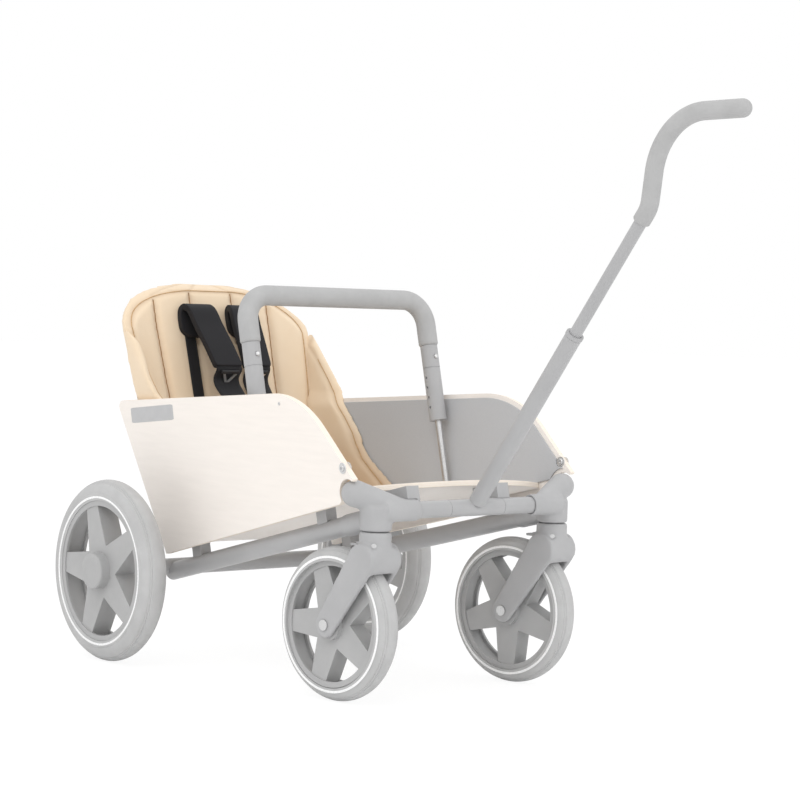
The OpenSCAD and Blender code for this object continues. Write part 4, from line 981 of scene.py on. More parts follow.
def handle_grip():
    """Foam grip drawn out along the tube, bent up, then bent forward to its level round end."""
    radius = sizes().grip_radius
    pivot = Vector(JOINTS["handle_pivot"]["pos_m"])
    heading = Vector(JOINTS["handle_telescope"]["axis"])
    start = pivot + heading * GRIP_START
    bm = bmesh.new()
    edges = ring_of(bm, start, heading, radius * GRIP_MOUTH, GRIP_SIDES)
    first = list(edges)
    edges = rolled_out(bm, edges, heading, GRIP_ROLLS)
    rolled = sum(offset for offset, _ in GRIP_ROLLS)
    edges = draw_out(bm, edges, heading * (GRIP_FOOT - rolled), steps=3)
    place = start + heading * GRIP_FOOT
    lift = Matrix.Rotation(-GRIP_LIFT, 3, ACROSS)
    normal = ACROSS.cross(heading).normalized()
    centre = place - normal * GRIP_LIFT_RADIUS
    edges = bend_round(bm, edges, centre, ACROSS, -GRIP_LIFT, 12)
    place = centre + lift @ (place - centre)
    rising = lift @ heading
    edges = draw_out(bm, edges, rising * GRIP_MIDDLE, steps=6)
    place += rising * GRIP_MIDDLE
    fall = math.acos(max(-1.0, min(1.0, rising.x)))
    normal = ACROSS.cross(rising).normalized()
    centre = place + normal * GRIP_TOP_RADIUS
    edges = bend_round(bm, edges, centre, ACROSS, fall, 28)
    level = Matrix.Rotation(fall, 3, ACROSS) @ rising
    edges = draw_out(bm, edges, level * GRIP_END, steps=8)
    dome_end(bm, edges, level, radius, 8)
    close_end(bm, first)
    return settle(made_piece("handle_grip_foam", bm, ["foam_skin"]), "handle_slider", "foam", "handle_grip")


class WAGON_OT_pull_handle(bpy.types.Operator):
    """Finishes the pull handle's tubes and collar and builds its foam grip"""

    bl_idname = "wagon.pull_handle"
    bl_label = "Pull handle"

    def execute(self, context):
        edge = sizes().edge_round
        pivot = Vector(JOINTS["handle_pivot"]["pos_m"])
        heading = Vector(JOINTS["handle_telescope"]["axis"])
        hub = round_tube("handle_hub_drawn", pivot - ACROSS * HUB_HALF, pivot + ACROSS * HUB_HALF, CROSS_TUBE,
                         "satin_paint")
        settle(hub, "pull_handle", "frame_paint", "handle_lower_tube")
        lower = round_tube("handle_lower_tube_drawn", pivot + heading * LOWER_TUBE_START,
                           pivot + heading * LOWER_TUBE_END, LOWER_TUBE, "satin_paint",
                           hollow=LOWER_TUBE_BORE)
        settle(lower, "pull_handle", "frame_paint")
        upper = round_tube("handle_upper_tube_drawn", pivot + heading * UPPER_TUBE_START,
                           pivot + heading * UPPER_TUBE_END, UPPER_TUBE, "satin_paint")
        settle(upper, "handle_slider", "frame_paint", "handle_upper_tube")
        refined("handle_collar", "moulded_grey", "grey_plastic", edge)
        handle_grip()
        return {"FINISHED"}


# Grab bar

BAR_ALONG = 0.3445
BAR_HEIGHT = 0.370
BAR_BEND = 0.046
FOAM_END = 0.286
BUTTON_HEIGHT = 0.264
BUTTON_DEPTH = 0.0085
BUTTON_FLANGE = 0.005
BUTTON_FLANGE_THICKNESS = 0.001
BUTTON_RADIUS = 0.004
BUTTON_SIDE = 0.0082
BUTTON_ROUND = 0.002
BUTTON_TOP = 0.0104
BUTTON_STEPS = 40
FOAM_SIDES = 48
# Share of the foam's radius at its mouth, then the steps of its rolled edge: a distance and a scale
FOAM_MOUTH = 0.78
FOAM_ROLLS = ((0.0003, 1.1), (0.0012, 1.11), (0.0022, 1.05))


def floor_point(along, across, up):
    """A point in the floor's own frame: up the slope, across it, above it."""
    return FLOOR_START + FLOOR_RUN * along + ACROSS * across + BAR_AXIS * up


def bar_foam():
    """Foam sleeve over the bar, drawn up one leg, round both bends and down the other, with rolled ends."""
    radius = sizes().foam_radius
    low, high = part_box("bar_foam")
    half = (high.y - low.y) / 2.0 - radius
    bm = bmesh.new()
    start = floor_point(BAR_ALONG, half, FOAM_END)
    edges = ring_of(bm, start, BAR_AXIS, radius * FOAM_MOUTH, FOAM_SIDES)
    first = list(edges)
    edges = rolled_out(bm, edges, BAR_AXIS, FOAM_ROLLS)
    rolled = sum(offset for offset, _ in FOAM_ROLLS)
    leg = BAR_HEIGHT - BAR_BEND - FOAM_END - rolled
    edges = draw_out(bm, edges, BAR_AXIS * leg, steps=6)
    bend_centre = floor_point(BAR_ALONG, half - BAR_BEND, BAR_HEIGHT - BAR_BEND)
    edges = bend_round(bm, edges, bend_centre, FLOOR_RUN, math.pi / 2.0, 20)
    edges = draw_out(bm, edges, -ACROSS * 2.0 * (half - BAR_BEND), steps=24)
    bend_centre = floor_point(BAR_ALONG, -half + BAR_BEND, BAR_HEIGHT - BAR_BEND)
    edges = bend_round(bm, edges, bend_centre, FLOOR_RUN, math.pi / 2.0, 20)
    edges = draw_out(bm, edges, -BAR_AXIS * leg, steps=6)
    unrolled = [(offset, 1.0 / scale) for offset, scale in reversed(FOAM_ROLLS)]
    edges = rolled_out(bm, edges, -BAR_AXIS, unrolled)
    close_end(bm, edges)
    close_end(bm, first)
    return settle(made_piece("bar_foam_cover", bm, ["foam_skin"]), "grab_bar", "foam", "bar_foam")


def button(label):
    """A domed snap button."""
    low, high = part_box("bar_button_" + label)
    inner = floor_point(BAR_ALONG, (low.y + high.y) / 2.0, BUTTON_HEIGHT) + FLOOR_RUN * BUTTON_DEPTH
    outline = [(0.0, 0.0), (BUTTON_FLANGE, 0.0), (BUTTON_FLANGE, BUTTON_FLANGE_THICKNESS),
               (BUTTON_RADIUS, BUTTON_FLANGE_THICKNESS), (BUTTON_RADIUS, BUTTON_SIDE)]
    outline += arc((BUTTON_RADIUS - BUTTON_ROUND, BUTTON_SIDE), BUTTON_ROUND, 0.0, 90.0, 5)
    outline += [(0.0, BUTTON_TOP)]
    piece = turned("bar_button_domed_" + label, outline, inner, FLOOR_RUN, ["brushed_steel"],
                   steps=BUTTON_STEPS)
    settle(piece, "bar_button_" + label, "steel", "bar_button_" + label)


class WAGON_OT_grab_bar(bpy.types.Operator):
    """Builds the grab bar's foam and buttons and finishes its sleeves, tube and rods"""

    bl_idname = "wagon.grab_bar"
    bl_label = "Grab bar"

    def execute(self, context):
        edge = sizes().edge_round
        bar_foam()
        refined("leg_sleeves", "moulded_grey", "grey_plastic", edge * 0.5)
        repaint("bar_tube", "satin_paint")
        refined("bar_rods", "brushed_steel", "steel", edge * 0.5)
        for label in SIDES:
            button(label)
        return {"FINISHED"}


# Seat

# Seams of the back as shares of its half width, and the most of its outline that they reach
SEAT_SEAMS = (0.23, 0.62)
SEAM_LIMITS = (0.35, 0.85)
SEAT_WIDE_Z = 0.585
SEAT_TOP_Z = 0.672
SEAT_TOP_TURN = math.radians(80.0)
SEAT_TOP_POWER = 0.8
SEAT_LEAN = math.radians(17.0)
SEAT_THICKNESS = 0.026
SEAT_WRAP = 0.027
SEAT_SIDE_GAP = 0.0035
SEAT_BACK_GAP = 0.0105
REAR_PANEL_TOP = 0.4440
BORDER_INSET = 0.013
BORDER_LOW_Z = 0.40
BORDER_SIDE_STEPS = 60
BORDER_TOP_STEPS = 90
BORDER_FLAT_STEPS = 16
INNER_SEAM_LOW_Z = 0.56
OUTER_SEAM_LOW_Z = 0.30
CROSS_SEAM_Z = 0.447
CROSS_SEAM_STEPS = 60
SEAM_STEP = 0.005
SEAM_GAP = 0.002
# Painted shade in the sewn channels: its strongest share, and its width as a share of a channel's
SEAM_SHADE = 0.22
SEAM_SHADE_WIDTH = 0.8
BASE_SEAMS = (0.135, 0.205)
# How much of a thread's radius stands proud, its sides, and how far off the rays start that lay it on
THREAD_PROUD = 0.6
THREAD_SIDES = 6
RAY_START = 0.3
SEWN_FACING = 0.2
# How the padding swells and is smoothed, and the depth behind which it stays where it is
SWELL_FRAMES = 20
BACK_PRESSURE = 4.0
WING_PRESSURE = 3.0
WING_SWELL = 0.7
SMOOTHING = 0.5
KEPT_BULK = 0.52
BACK_ROUNDS = 12
BASE_ROUNDS = 10
WING_ROUNDS = 10
BACK_HELD = 0.008
BASE_HELD = 0.012
WING_HELD = 0.010
WING_HELD_FADE = 0.006
# How the seat's sides lean outward above the box
FLARE_LOW_Z = 0.444
FLARE_RISE = 0.036
FLARE_TOP_Z = 0.645
FLARE_FALL = 0.060
BACK_FLARE = 0.014
BACK_FORWARD = 0.009
FLARE_SIDE = 0.75
WING_FLARE = 0.005
WING_EDGE_FLARE = 0.006
WING_EDGE_REACH = 0.10
# How far a wing's rear tucks behind the seat back, and the share of it that its tip keeps
WING_TUCK = {"right": 0.005, "left": 0.018}
WING_TIP_TUCK = 0.4
WING_TUCK_REACH = 0.05
# Where a wing's tip begins, up the panel, and how far it is lifted, drawn back and leaned
WING_TIP_V = 0.310
WING_TIP_RISE = 0.022
WING_TIP_BACK = 0.009
WING_TIP_FLARE = 0.5
# Height up the panel under which a wing's foot follows the floor's slope
WING_FOOT_V = 0.20
WING_FOOT_REACH = 0.08
# Painted shade low on a wing, where the box shades it: its strongest share, the height under which it begins
# and the reach down to its strongest
WING_PAINTED_SHADE = 0.34
WING_PAINTED_SHADE_Z = 0.45
WING_PAINTED_SHADE_REACH = 0.13
# How far a wing's edge comes forward of its solid, at a height in the panel
WING_FORWARD = ((0.150, 0.024), (0.215, 0.029), (0.245, 0.023), (0.272, 0.013), (0.317, 0.005),
                (0.375, 0.006))
# Front edge of a wing: height in the panel, then place along it
WING_EDGE = ((0.044, 0.060), (0.070, 0.163), (0.084, 0.180), (0.096, 0.165), (0.127, 0.125), (0.169, 0.063),
             (0.194, 0.041), (0.257, -0.004), (0.317, -0.047), (0.350, -0.075), (0.375, -0.105))


def inner_half(x, height):
    """Half of the box's inner width at a place along it and a height."""
    spread_out = math.tan(PANEL_TOE) * (x - PANEL_CORNER.x)
    splay = math.tan(PANEL_SPLAY) / math.cos(PANEL_TOE) * (height - PANEL_CORNER.z)
    return PANEL_CORNER.y + spread_out + splay


def seat_rear(height):
    """Place of the seat back's rear face in the middle: along the rear panel, then steeper above it."""
    on_panel = min(height, REAR_PANEL_TOP) - PANEL_CORNER.z
    place = PANEL_CORNER.x - math.tan(REAR_LEAN) * on_panel + SEAT_BACK_GAP / math.cos(REAR_LEAN)
    return place - math.tan(SEAT_LEAN) * max(0.0, height - REAR_PANEL_TOP)


def seat_front(height):
    """Place of the seat back's front face in the middle."""
    return seat_rear(height) + SEAT_THICKNESS


def seat_full_half(height):
    """Half width that the seams keep their share of."""
    level = min(height, SEAT_WIDE_Z)
    return inner_half(seat_rear(level), level) - SEAT_SIDE_GAP


def seat_half(height):
    """Half width of the seat back's outline."""
    if height <= SEAT_WIDE_Z:
        return seat_full_half(height)
    share = (height - SEAT_WIDE_Z) / (SEAT_TOP_Z - SEAT_WIDE_Z) * math.sin(SEAT_TOP_TURN)
    return seat_full_half(height) * math.cos(math.asin(min(1.0, share))) ** SEAT_TOP_POWER


def seat_wrap(across, height):
    """How far the seat back's sides have come forward."""
    share = max(0.0, (abs(across) / seat_full_half(height) - SEAT_SEAMS[1]) / (1.0 - SEAT_SEAMS[1]))
    return SEAT_WRAP * share ** 2


def seam_across(index, height):
    """How far from the middle a seam runs."""
    return min(SEAT_SEAMS[index] * seat_full_half(height), SEAM_LIMITS[index] * seat_half(height))


def border_route():
    """Points across and up the seat back, inside its outline by the border's width, from right to left."""
    outline = []
    for step in range(BORDER_SIDE_STEPS + 1):
        height = BORDER_LOW_Z + (SEAT_WIDE_Z - BORDER_LOW_Z) * step / BORDER_SIDE_STEPS
        outline.append(Vector((seat_half(height), height)))
    for step in range(1, BORDER_TOP_STEPS + 1):
        angle = SEAT_TOP_TURN * step / BORDER_TOP_STEPS
        height = SEAT_WIDE_Z + (SEAT_TOP_Z - SEAT_WIDE_Z) * math.sin(angle) / math.sin(SEAT_TOP_TURN)
        outline.append(Vector((seat_half(height), height)))
    shoulder = outline[-1].x
    for step in range(1, BORDER_FLAT_STEPS + 1):
        outline.append(Vector((shoulder * (1.0 - step / BORDER_FLAT_STEPS), SEAT_TOP_Z)))
    inside = []
    for index, point in enumerate(outline):
        ahead = outline[min(index + 1, len(outline) - 1)] - outline[max(index - 1, 0)]
        normal = Vector((-ahead.y, ahead.x)).normalized()
        inside.append(point + normal * BORDER_INSET)
    right = [(-max(0.0, point.x), point.y) for point in inside]
    return right + [(-across, height) for across, height in reversed(right[:-1])]


def even_copy(node, name, finish_name, voxel):
    """An even, closed mesh of a solid."""
    mesh = NODES[node].data.copy()
    mesh.name = name
    mesh.materials.clear()
    mesh.materials.append(finish(finish_name))
    piece = object_of(name, mesh)
    remesh = piece.modifiers.new("Even", "REMESH")
    remesh.mode = "VOXEL"
    remesh.voxel_size = voxel
    remesh.use_smooth_shade = True
    apply_modifiers(piece)
    return piece


def soft_copy(node, name):
    """An even mesh of a soft solid, ready to swell."""
    return even_copy(node, name, "seat_cloth", sizes().cloth_voxel)


def apply_modifiers(piece):
    """Puts what the modifiers give into the mesh and drops them."""
    bpy.context.view_layer.update()
    graph = bpy.context.evaluated_depsgraph_get()
    mesh = bpy.data.meshes.new_from_object(piece.evaluated_get(graph))
    old = piece.data
    piece.modifiers.clear()
    piece.data = mesh
    mesh.name = old.name
    bpy.data.meshes.remove(old)


def swell(piece, pressure, cap, free):
    """Blows the cover up as cloth under pressure, and keeps each point's move under a cap."""
    rest = [vert.co.copy() for vert in piece.data.vertices]
    cloth = piece.modifiers.new("Cover", "CLOTH")
    settings = cloth.settings
    settings.use_pressure = True
    settings.uniform_pressure_force = pressure
    settings.quality = 4
    settings.tension_stiffness = 12.0
    settings.bending_stiffness = 0.6
    settings.effector_weights.gravity = 0.0
    cloth.collision_settings.use_collision = False
    scene = bpy.context.scene
    for number in range(1, SWELL_FRAMES + 1):
        scene.frame_set(number)
    graph = bpy.context.evaluated_depsgraph_get()
    moved = [vert.co.copy() for vert in piece.evaluated_get(graph).data.vertices]
    piece.modifiers.clear()
    scene.frame_set(1)
    for vert, start, end in zip(piece.data.vertices, rest, moved):
        step = end - start
        if step.length > cap:
            step = step.normalized() * cap
        vert.co = start + step * free(start)


def relax(piece, rounds, given_back=0.0):
    """Smooths a mesh; a share given back after each round keeps its bulk."""
    bm = bmesh.new()
    bm.from_mesh(piece.data)
    for _ in range(rounds):
        for factor in (SMOOTHING, -given_back):
            bmesh.ops.smooth_vert(bm, verts=bm.verts[:], factor=factor, use_axis_x=True, use_axis_y=True,
                                  use_axis_z=True)
    bm.to_mesh(piece.data)
    bm.free()


def eased(share):
    """A share between none and all, with soft ends."""
    share = min(1.0, max(0.0, share))
    return share * share * (3.0 - 2.0 * share)


def ramp(value, start, reach):
    """A share that grows from none at a start to all over a reach."""
    return min(1.0, max(0.0, (value - start) / reach))


def looked_up(table, value):
    """What a table of pairs gives for a value, along straight lines between its pairs."""
    if value <= table[0][0]:
        return table[0][1]
    for (low, start), (high, end) in zip(table, table[1:]):
        if value <= high:
            return start + (end - start) * (value - low) / (high - low)
    return table[-1][1]


def flare_share(height):
    """Share of its outward lean that the seat has at a height: none in the box and none at the top."""
    return eased((height - FLARE_LOW_Z) / FLARE_RISE) * eased((FLARE_TOP_Z - height) / FLARE_FALL)


def sew(piece, closeness):
    """Presses channels into a padded piece and paints shade into them, darkest where a point lies nearest a
    seam.

    closeness gives the distance from a point to the nearest seam, or None on a side that has none."""
    piece.data.update()
    depth = sizes().channel_depth
    width = sizes().channel_width
    marks = piece.data.attributes.new("painted_shade", "FLOAT", "POINT")
    normals = [vert.normal.copy() for vert in piece.data.vertices]
    for index, vert in enumerate(piece.data.vertices):
        near = closeness(vert.co, normals[index])
        if near is None:
            continue
        vert.co = vert.co - normals[index] * depth * math.exp(-(near / width) ** 2)
        # Painted shade in the channel, strongest at the seam
        marks.data[index].value = SEAM_SHADE * math.exp(-(near / (width * SEAM_SHADE_WIDTH)) ** 2)


def surface_of(piece):
    """A search tree over a piece's faces, for laying thread on them."""
    piece.data.update()
    points = [vert.co.copy() for vert in piece.data.vertices]
    return BVHTree.FromPolygons(points, [tuple(polygon.vertices) for polygon in piece.data.polygons])


def laid_on(tree, starts, direction, lift):
    """Where rays from the given points meet a surface, lifted off it a little."""
    hits = []
    for start in starts:
        place, normal, _, _ = tree.ray_cast(start, direction)
        if place is not None:
            hits.append(place + normal * lift)
    return hits


def thread_line(name, route, radius, finish_name):
    """A fine round thread drawn along a route."""
    bm = bmesh.new()
    heading = (route[1] - route[0]).normalized()
    edges = ring_of(bm, route[0], heading, radius, THREAD_SIDES)
    first = list(edges)
    for index in range(1, len(route)):
        ahead = (route[min(index + 1, len(route) - 1)] - route[index - 1]).normalized()
        edges = draw_out(bm, edges, route[index] - route[index - 1])
        turn = heading.rotation_difference(ahead).to_matrix()
        bmesh.ops.rotate(bm, verts=verts_of(edges), cent=route[index], matrix=turn)
        heading = ahead
    close_end(bm, first)
    close_end(bm, edges)
    return settle(made_piece(name, bm, [finish_name]), "chassis", "seat_cover")


def finer_mesh(piece):
    """Splits every face once, smoothly, into the mesh itself."""
    surface = piece.modifiers.new("Finer", "SUBSURF")
    surface.levels = 1
    surface.render_levels = 1
    apply_modifiers(piece)
    for polygon in piece.data.polygons:
        polygon.use_smooth = True


def crumple(piece, amount, scale):
    """Moves the surface a little in and out, as a soft cover lies."""
    piece.data.update()
    for vert in piece.data.vertices:
        wander = noise.noise(vert.co * scale)
        vert.co = vert.co + vert.normal * wander * amount


def near_line(point, line):
    """Distance from a point to the nearest of a line's points."""
    return min(math.hypot(point[0] - across, point[1] - height) for across, height in line)


def back_threads(piece):
    """Threads along the seat back's seams and border."""
    tree = surface_of(piece)
    radius = sizes().thread_radius
    border = border_route()
    lines = {"border": border}
    for label, side in SIDES.items():
        for name, index, low in (("inner", 0, INNER_SEAM_LOW_Z), ("outer", 1, OUTER_SEAM_LOW_Z)):
            points = []
            height = low
            while height < SEAT_TOP_Z - BORDER_INSET:
                point = (side * seam_across(index, height), height)
                if near_line(point, border) < SEAM_GAP:
                    break
                points.append(point)
                height += SEAM_STEP
            lines[name + "_" + label] = points
    reach = seam_across(1, CROSS_SEAM_Z)
    lines["cross"] = [(reach * (2.0 * step / CROSS_SEAM_STEPS - 1.0), CROSS_SEAM_Z)
                      for step in range(CROSS_SEAM_STEPS + 1)]
    for name, points in lines.items():
        starts = [Vector((seat_front(height) + RAY_START, across, height)) for across, height in points]
        route = laid_on(tree, starts, REARWARD, radius * THREAD_PROUD)
        finish_name = "thread_tan" if name == "border" else "thread_brown"
        thread_line("seat_thread_" + name, route, radius, finish_name)


def flare_back(piece):
    """Leans the front of the seat back's sides outward above the box, to meet the wings."""
    for vert in piece.data.vertices:
        height = vert.co.z
        rear = seat_rear(height) + seat_wrap(vert.co.y, height)
        depth = ramp(vert.co.x, rear, SEAT_THICKNESS)
        aside = eased((abs(vert.co.y) / seat_full_half(height) - FLARE_SIDE) / (1.0 - FLARE_SIDE))
        share = flare_share(height) * depth * aside
        vert.co.y += math.copysign(BACK_FLARE * share, vert.co.y)
        vert.co.x += BACK_FORWARD * share


def seat_back():
    """The back: five sewn channels and a border, crowned in front and flat on the rear panel."""
    piece = soft_copy("seat_back", "seat_back_cover")
    border = border_route()

    def front(point, normal):
        if normal.x < SEWN_FACING:
            return None
        gaps = [abs(abs(point.y) - seam_across(1, point.z))]
        if point.z > INNER_SEAM_LOW_Z:
            gaps.append(abs(abs(point.y) - seam_across(0, point.z)))
        if abs(point.y) < seam_across(1, point.z):
            gaps.append(abs(point.z - CROSS_SEAM_Z))
        if point.z > BORDER_LOW_Z:
            gaps.append(near_line((point.y, point.z), border))
        return min(gaps)

    def free(point):
        rear = seat_rear(point.z) + seat_wrap(point.y, point.z)
        return ramp(point.x - rear, BACK_HELD, BACK_HELD)

    swell(piece, BACK_PRESSURE, sizes().seat_swell, free)
    relax(piece, BACK_ROUNDS, KEPT_BULK)
    flare_back(piece)
    crumple(piece, amount=0.0008, scale=14.0)
    finer_mesh(piece)
    sew(piece, front)
    settle(piece, "chassis", "seat_cover", "seat_back")
    back_threads(piece)


def seat_base():
    """The base cushion, crowned on top with two cross channels."""
    piece = soft_copy("seat_base", "seat_base_cover")
    lines = [FLOOR_START.dot(FLOOR_RUN) + along for along in BASE_SEAMS]

    def free(point):
        return ramp((point - FLOOR_START).dot(BAR_AXIS), BASE_HELD, BASE_HELD)

    def top(point, normal):
        if normal.dot(BAR_AXIS) < SEWN_FACING:
            return None
        return min(abs(point.dot(FLOOR_RUN) - line) for line in lines)

    swell(piece, BACK_PRESSURE, sizes().seat_swell, free)
    relax(piece, BASE_ROUNDS, KEPT_BULK)
    crumple(piece, amount=0.001, scale=18.0)
    finer_mesh(piece)
    sew(piece, top)
    settle(piece, "chassis", "seat_cover", "seat_base")


# The welt inside a wing's front edge: its inset, its ends up the panel and how its thread is laid on
WELT_INSET = 0.013
WELT_SLANT = 0.8
WELT_LOW_V = 0.115
WELT_HIGH_V = 0.350
WELT_STEPS = 80
WELT_RAY = 0.12
WELT_PROUD = 0.4


def wing_welt(height):
    """Place along a side panel of the welt inside a wing's front edge."""
    return looked_up(WING_EDGE, height) + looked_up(WING_FORWARD, height) - WELT_INSET


def lean_wing(piece, label, side):
    """Brings a wing's edge forward, tucks its rear in, lifts its tip and leans it outward above the box."""
    origin = panel_point(side, 0.0, 0.0, 0.0)
    along, out, up = (panel_axis(side, axis) for axis in range(3))
    for vert in piece.data.vertices:
        place = vert.co - origin
        height = place.dot(up)
        run = place.dot(along)
        near = eased(1.0 - (looked_up(WING_EDGE, height) - run) / WING_EDGE_REACH)
        tip = eased((height - WING_TIP_V) / (WING_EDGE[-1][0] - WING_TIP_V))
        ahead = run - seat_front(vert.co.z) - SEAT_WRAP + PANEL_CORNER.x
        behind = eased(1.0 - ahead / WING_TUCK_REACH)
        tuck = WING_TUCK[label] * behind * (1.0 - (1.0 - WING_TIP_TUCK) * tip)
        slide = looked_up(WING_FORWARD, height) * near - tuck - WING_TIP_BACK * tip
        foot = eased((WING_FOOT_V - height) / WING_FOOT_REACH)
        lift = max(0.0, slide) * math.tan(FLOOR_SLOPE) * foot + WING_TIP_RISE * tip
        lean = (WING_FLARE + WING_EDGE_FLARE * near) * flare_share(vert.co.z)
        flare = lean * (1.0 - (1.0 - WING_TIP_FLARE) * tip)
        vert.co = vert.co + along * slide + up * lift + out * flare


def seat_wing(label, side):
    """A side wing: a thin padded leaf along the felt, with a sewn welt inside its front edge and painted
    shade darkening its lower part.
    """
    piece = soft_copy("seat_wing_" + label, "seat_wing_cover_" + label)
    origin = panel_point(side, 0.0, 0.0, 0.0)
    along, out, up = (panel_axis(side, axis) for axis in range(3))

    def free(point):
        return ramp(-(point - origin).dot(out), WING_HELD, WING_HELD_FADE)

    def edge(point, normal):
        if normal.dot(out) > -SEWN_FACING:
            return None
        place = point - origin
        return abs(wing_welt(place.dot(up)) - place.dot(along)) * WELT_SLANT

    swell(piece, WING_PRESSURE, sizes().seat_swell * WING_SWELL, free)
    relax(piece, WING_ROUNDS, KEPT_BULK)
    lean_wing(piece, label, side)
    crumple(piece, amount=0.0006, scale=16.0)
    finer_mesh(piece)
    sew(piece, edge)
    # Painted shade: the wing darkens towards its foot, low in the box
    marks = piece.data.attributes["painted_shade"]
    for vert in piece.data.vertices:
        marks.data[vert.index].value += WING_PAINTED_SHADE * eased((WING_PAINTED_SHADE_Z - vert.co.z) / WING_PAINTED_SHADE_REACH)
    settle(piece, "chassis", "seat_cover", "seat_wing_" + label)
    starts = []
    for step in range(WELT_STEPS + 1):
        height = WELT_LOW_V + (WELT_HIGH_V - WELT_LOW_V) * step / WELT_STEPS
        starts.append(panel_point(side, wing_welt(height), -WELT_RAY, height))
    radius = sizes().thread_radius
    route = laid_on(surface_of(piece), starts, out, radius * WELT_PROUD)
    thread_line("seat_thread_wing_" + label, route, radius, "thread_tan")


class WAGON_OT_seat(bpy.types.Operator):
    """Swells and sews the seat's back, base and wings"""

    bl_idname = "wagon.seat"
    bl_label = "Seat"

    def execute(self, context):
        seat_back()
        seat_base()
        for label, side in SIDES.items():
            seat_wing(label, side)
        return {"FINISHED"}


# Harness

def smooth_route(points, count):
    """Even points on a smooth curve through a few chosen ones."""
    points = [Vector(point) for point in points]
    padded = [points[0] * 2.0 - points[1]] + points + [points[-1] * 2.0 - points[-2]]
    route = []
    for index in range(1, len(padded) - 2):
        before, start, end, after = padded[index - 1:index + 3]
        for step in range(count):
            t = step / count
            route.append(0.5 * (2.0 * start + (end - before) * t
                                + (2.0 * before - 5.0 * start + 4.0 * end - after) * t ** 2
                                + (3.0 * start - before - 3.0 * end + after) * t ** 3))
    route.append(points[-1])
    return route


def strap(name, route, width, thickness, finish_name, shape=None):
    """A flat band laid along a route, level across, with its own map along and across it.

    shape gives the width at a distance along the band and what is left of it, as a share."""
    bm = bmesh.new()
    bmesh.ops.create_grid(bm, x_segments=8, y_segments=len(route) - 1, size=0.5)
    map_layer = bm.loops.layers.uv.new("UVMap")
    lengths = [0.0]
    for first, second in zip(route, route[1:]):
        lengths.append(lengths[-1] + (second - first).length)
    spots = {}
    for vert in bm.verts:
        spots[vert] = (vert.co.x + 0.5, round((vert.co.y + 0.5) * (len(route) - 1)))
    for vert, (share, index) in spots.items():
        kept = shape(lengths[index], lengths[-1] - lengths[index]) if shape else 1.0
        vert.co = route[index] + ACROSS * (share - 0.5) * width * kept
    for face in bm.faces:
        for loop in face.loops:
            share, index = spots[loop.vert]
            loop[map_layer].uv = (share * width, lengths[index])
    bmesh.ops.recalc_face_normals(bm, faces=bm.faces[:])
    piece = made_piece(name, bm, [finish_name], closed=False)
    solid = piece.modifiers.new("Thickness", "SOLIDIFY")
    solid.thickness = thickness
    solid.offset = 0.0
    return piece


PAD_TOP = 0.6295
# A pad's middle line from its rear fold to its foot, each point given as its distance
# ahead of the seat back, down from the pad's top and from the middle
PAD_LINE = ((0.0090, 0.0570, 0.0550), (0.0090, 0.0380, 0.0545), (0.0092, 0.0200, 0.0540),
            (0.0125, 0.0075, 0.0530), (0.0215, 0.0010, 0.0510), (0.0300, 0.0035, 0.0490),
            (0.0360, 0.0120, 0.0470), (0.0440, 0.0360, 0.0435), (0.0590, 0.0720, 0.0380),
            (0.0725, 0.1095, 0.0330))
PAD_POINT_STEPS = 9
PAD_ROUND = 0.42
PAD_ROUND_ANGLE = math.radians(50.0)
# The pad's round tongue, with the least share of its width, and its slightly pinched foot
TONGUE_ROUND = 0.024
TONGUE_LEAST = 0.45
TONGUE_POWER = 2.4
FOOT_PINCH = 0.06
FOOT_REACH = 0.006
BACK_STRAP_ACROSS = 0.063
BACK_STRAP_LOW_Z = 0.375
BACK_STRAP_STEPS = 30
BUCKLE_MIDDLE = (0.164, 0.048)
BUCKLE_RADIUS = 0.023
BUCKLE_HEIGHT = 0.016
BUCKLE_ROUND = 0.004
BUCKLE_SHOULDER = 0.007
BUCKLE_STEPS = 48
# Radius, and depth under the buckle's top, over the groove and the button in its middle
BUCKLE_BUTTON = ((0.0125, 0.0025), (0.0118, 0.004), (0.0112, 0.004), (0.0106, 0.0006), (0.0085, 0.0),
                 (0.0, 0.0))
# A belt's way and width: its share of the pad's width and of the webbing's thickness, then how it narrows
BELT_END_ACROSS = 0.015
BELT_TUCK = 0.016
BELT_LEAD = 0.004
BELT_DROP = 0.036
BELT_POINT_STEPS = 10
BELT_WIDTH = 0.93
BELT_THICKNESS = 1.6
BELT_LEAST = 0.42
BELT_NARROWING = 1.25
# The steel triangle and the black slide on a belt
RING_ALONG = 0.017
RING_RADIUS = 0.021
RING_CORNER = 0.005
RING_WALL = 0.0045
RING_THICKNESS = 0.0026
RING_LIFT = 0.0045
RING_ROUND = 0.0007
SLIDE_ALONG = 0.0085
SLIDE_SIZE = (0.040, 0.007, 0.0055)
SLIDE_LIFT = 0.0050
SLIDE_ROUND = 0.0018


def pad_place(side, out, drop, across):
    """A point of a pad's middle line on one side."""
    return Vector((seat_front(PAD_TOP - drop) + out, side * across, PAD_TOP - drop))


def shoulder_pad(label, side):
    """A padded shoulder strap: a fold at its top, a round tongue behind and a square foot in front."""
    def tongue(done, left):
        if done < TONGUE_ROUND:
            bare = (1.0 - done / TONGUE_ROUND) ** TONGUE_POWER
            return max(TONGUE_LEAST, (1.0 - bare) ** (1.0 / TONGUE_POWER))
        return 1.0 - FOOT_PINCH * max(0.0, 1.0 - left / FOOT_REACH)

    thickness = sizes().pad_thickness
    route = smooth_route([pad_place(side, *spot) for spot in PAD_LINE], PAD_POINT_STEPS)
    pad = strap("harness_pad_" + label, route, sizes().pad_width, thickness, "pad_cloth", tongue)
    soft = pad.modifiers.new("Soft edges", "BEVEL")
    soft.width = thickness * PAD_ROUND
    soft.segments = 4
    soft.limit_method = "ANGLE"
    soft.angle_limit = PAD_ROUND_ANGLE
    return settle(pad, "chassis", "harness_cloth")


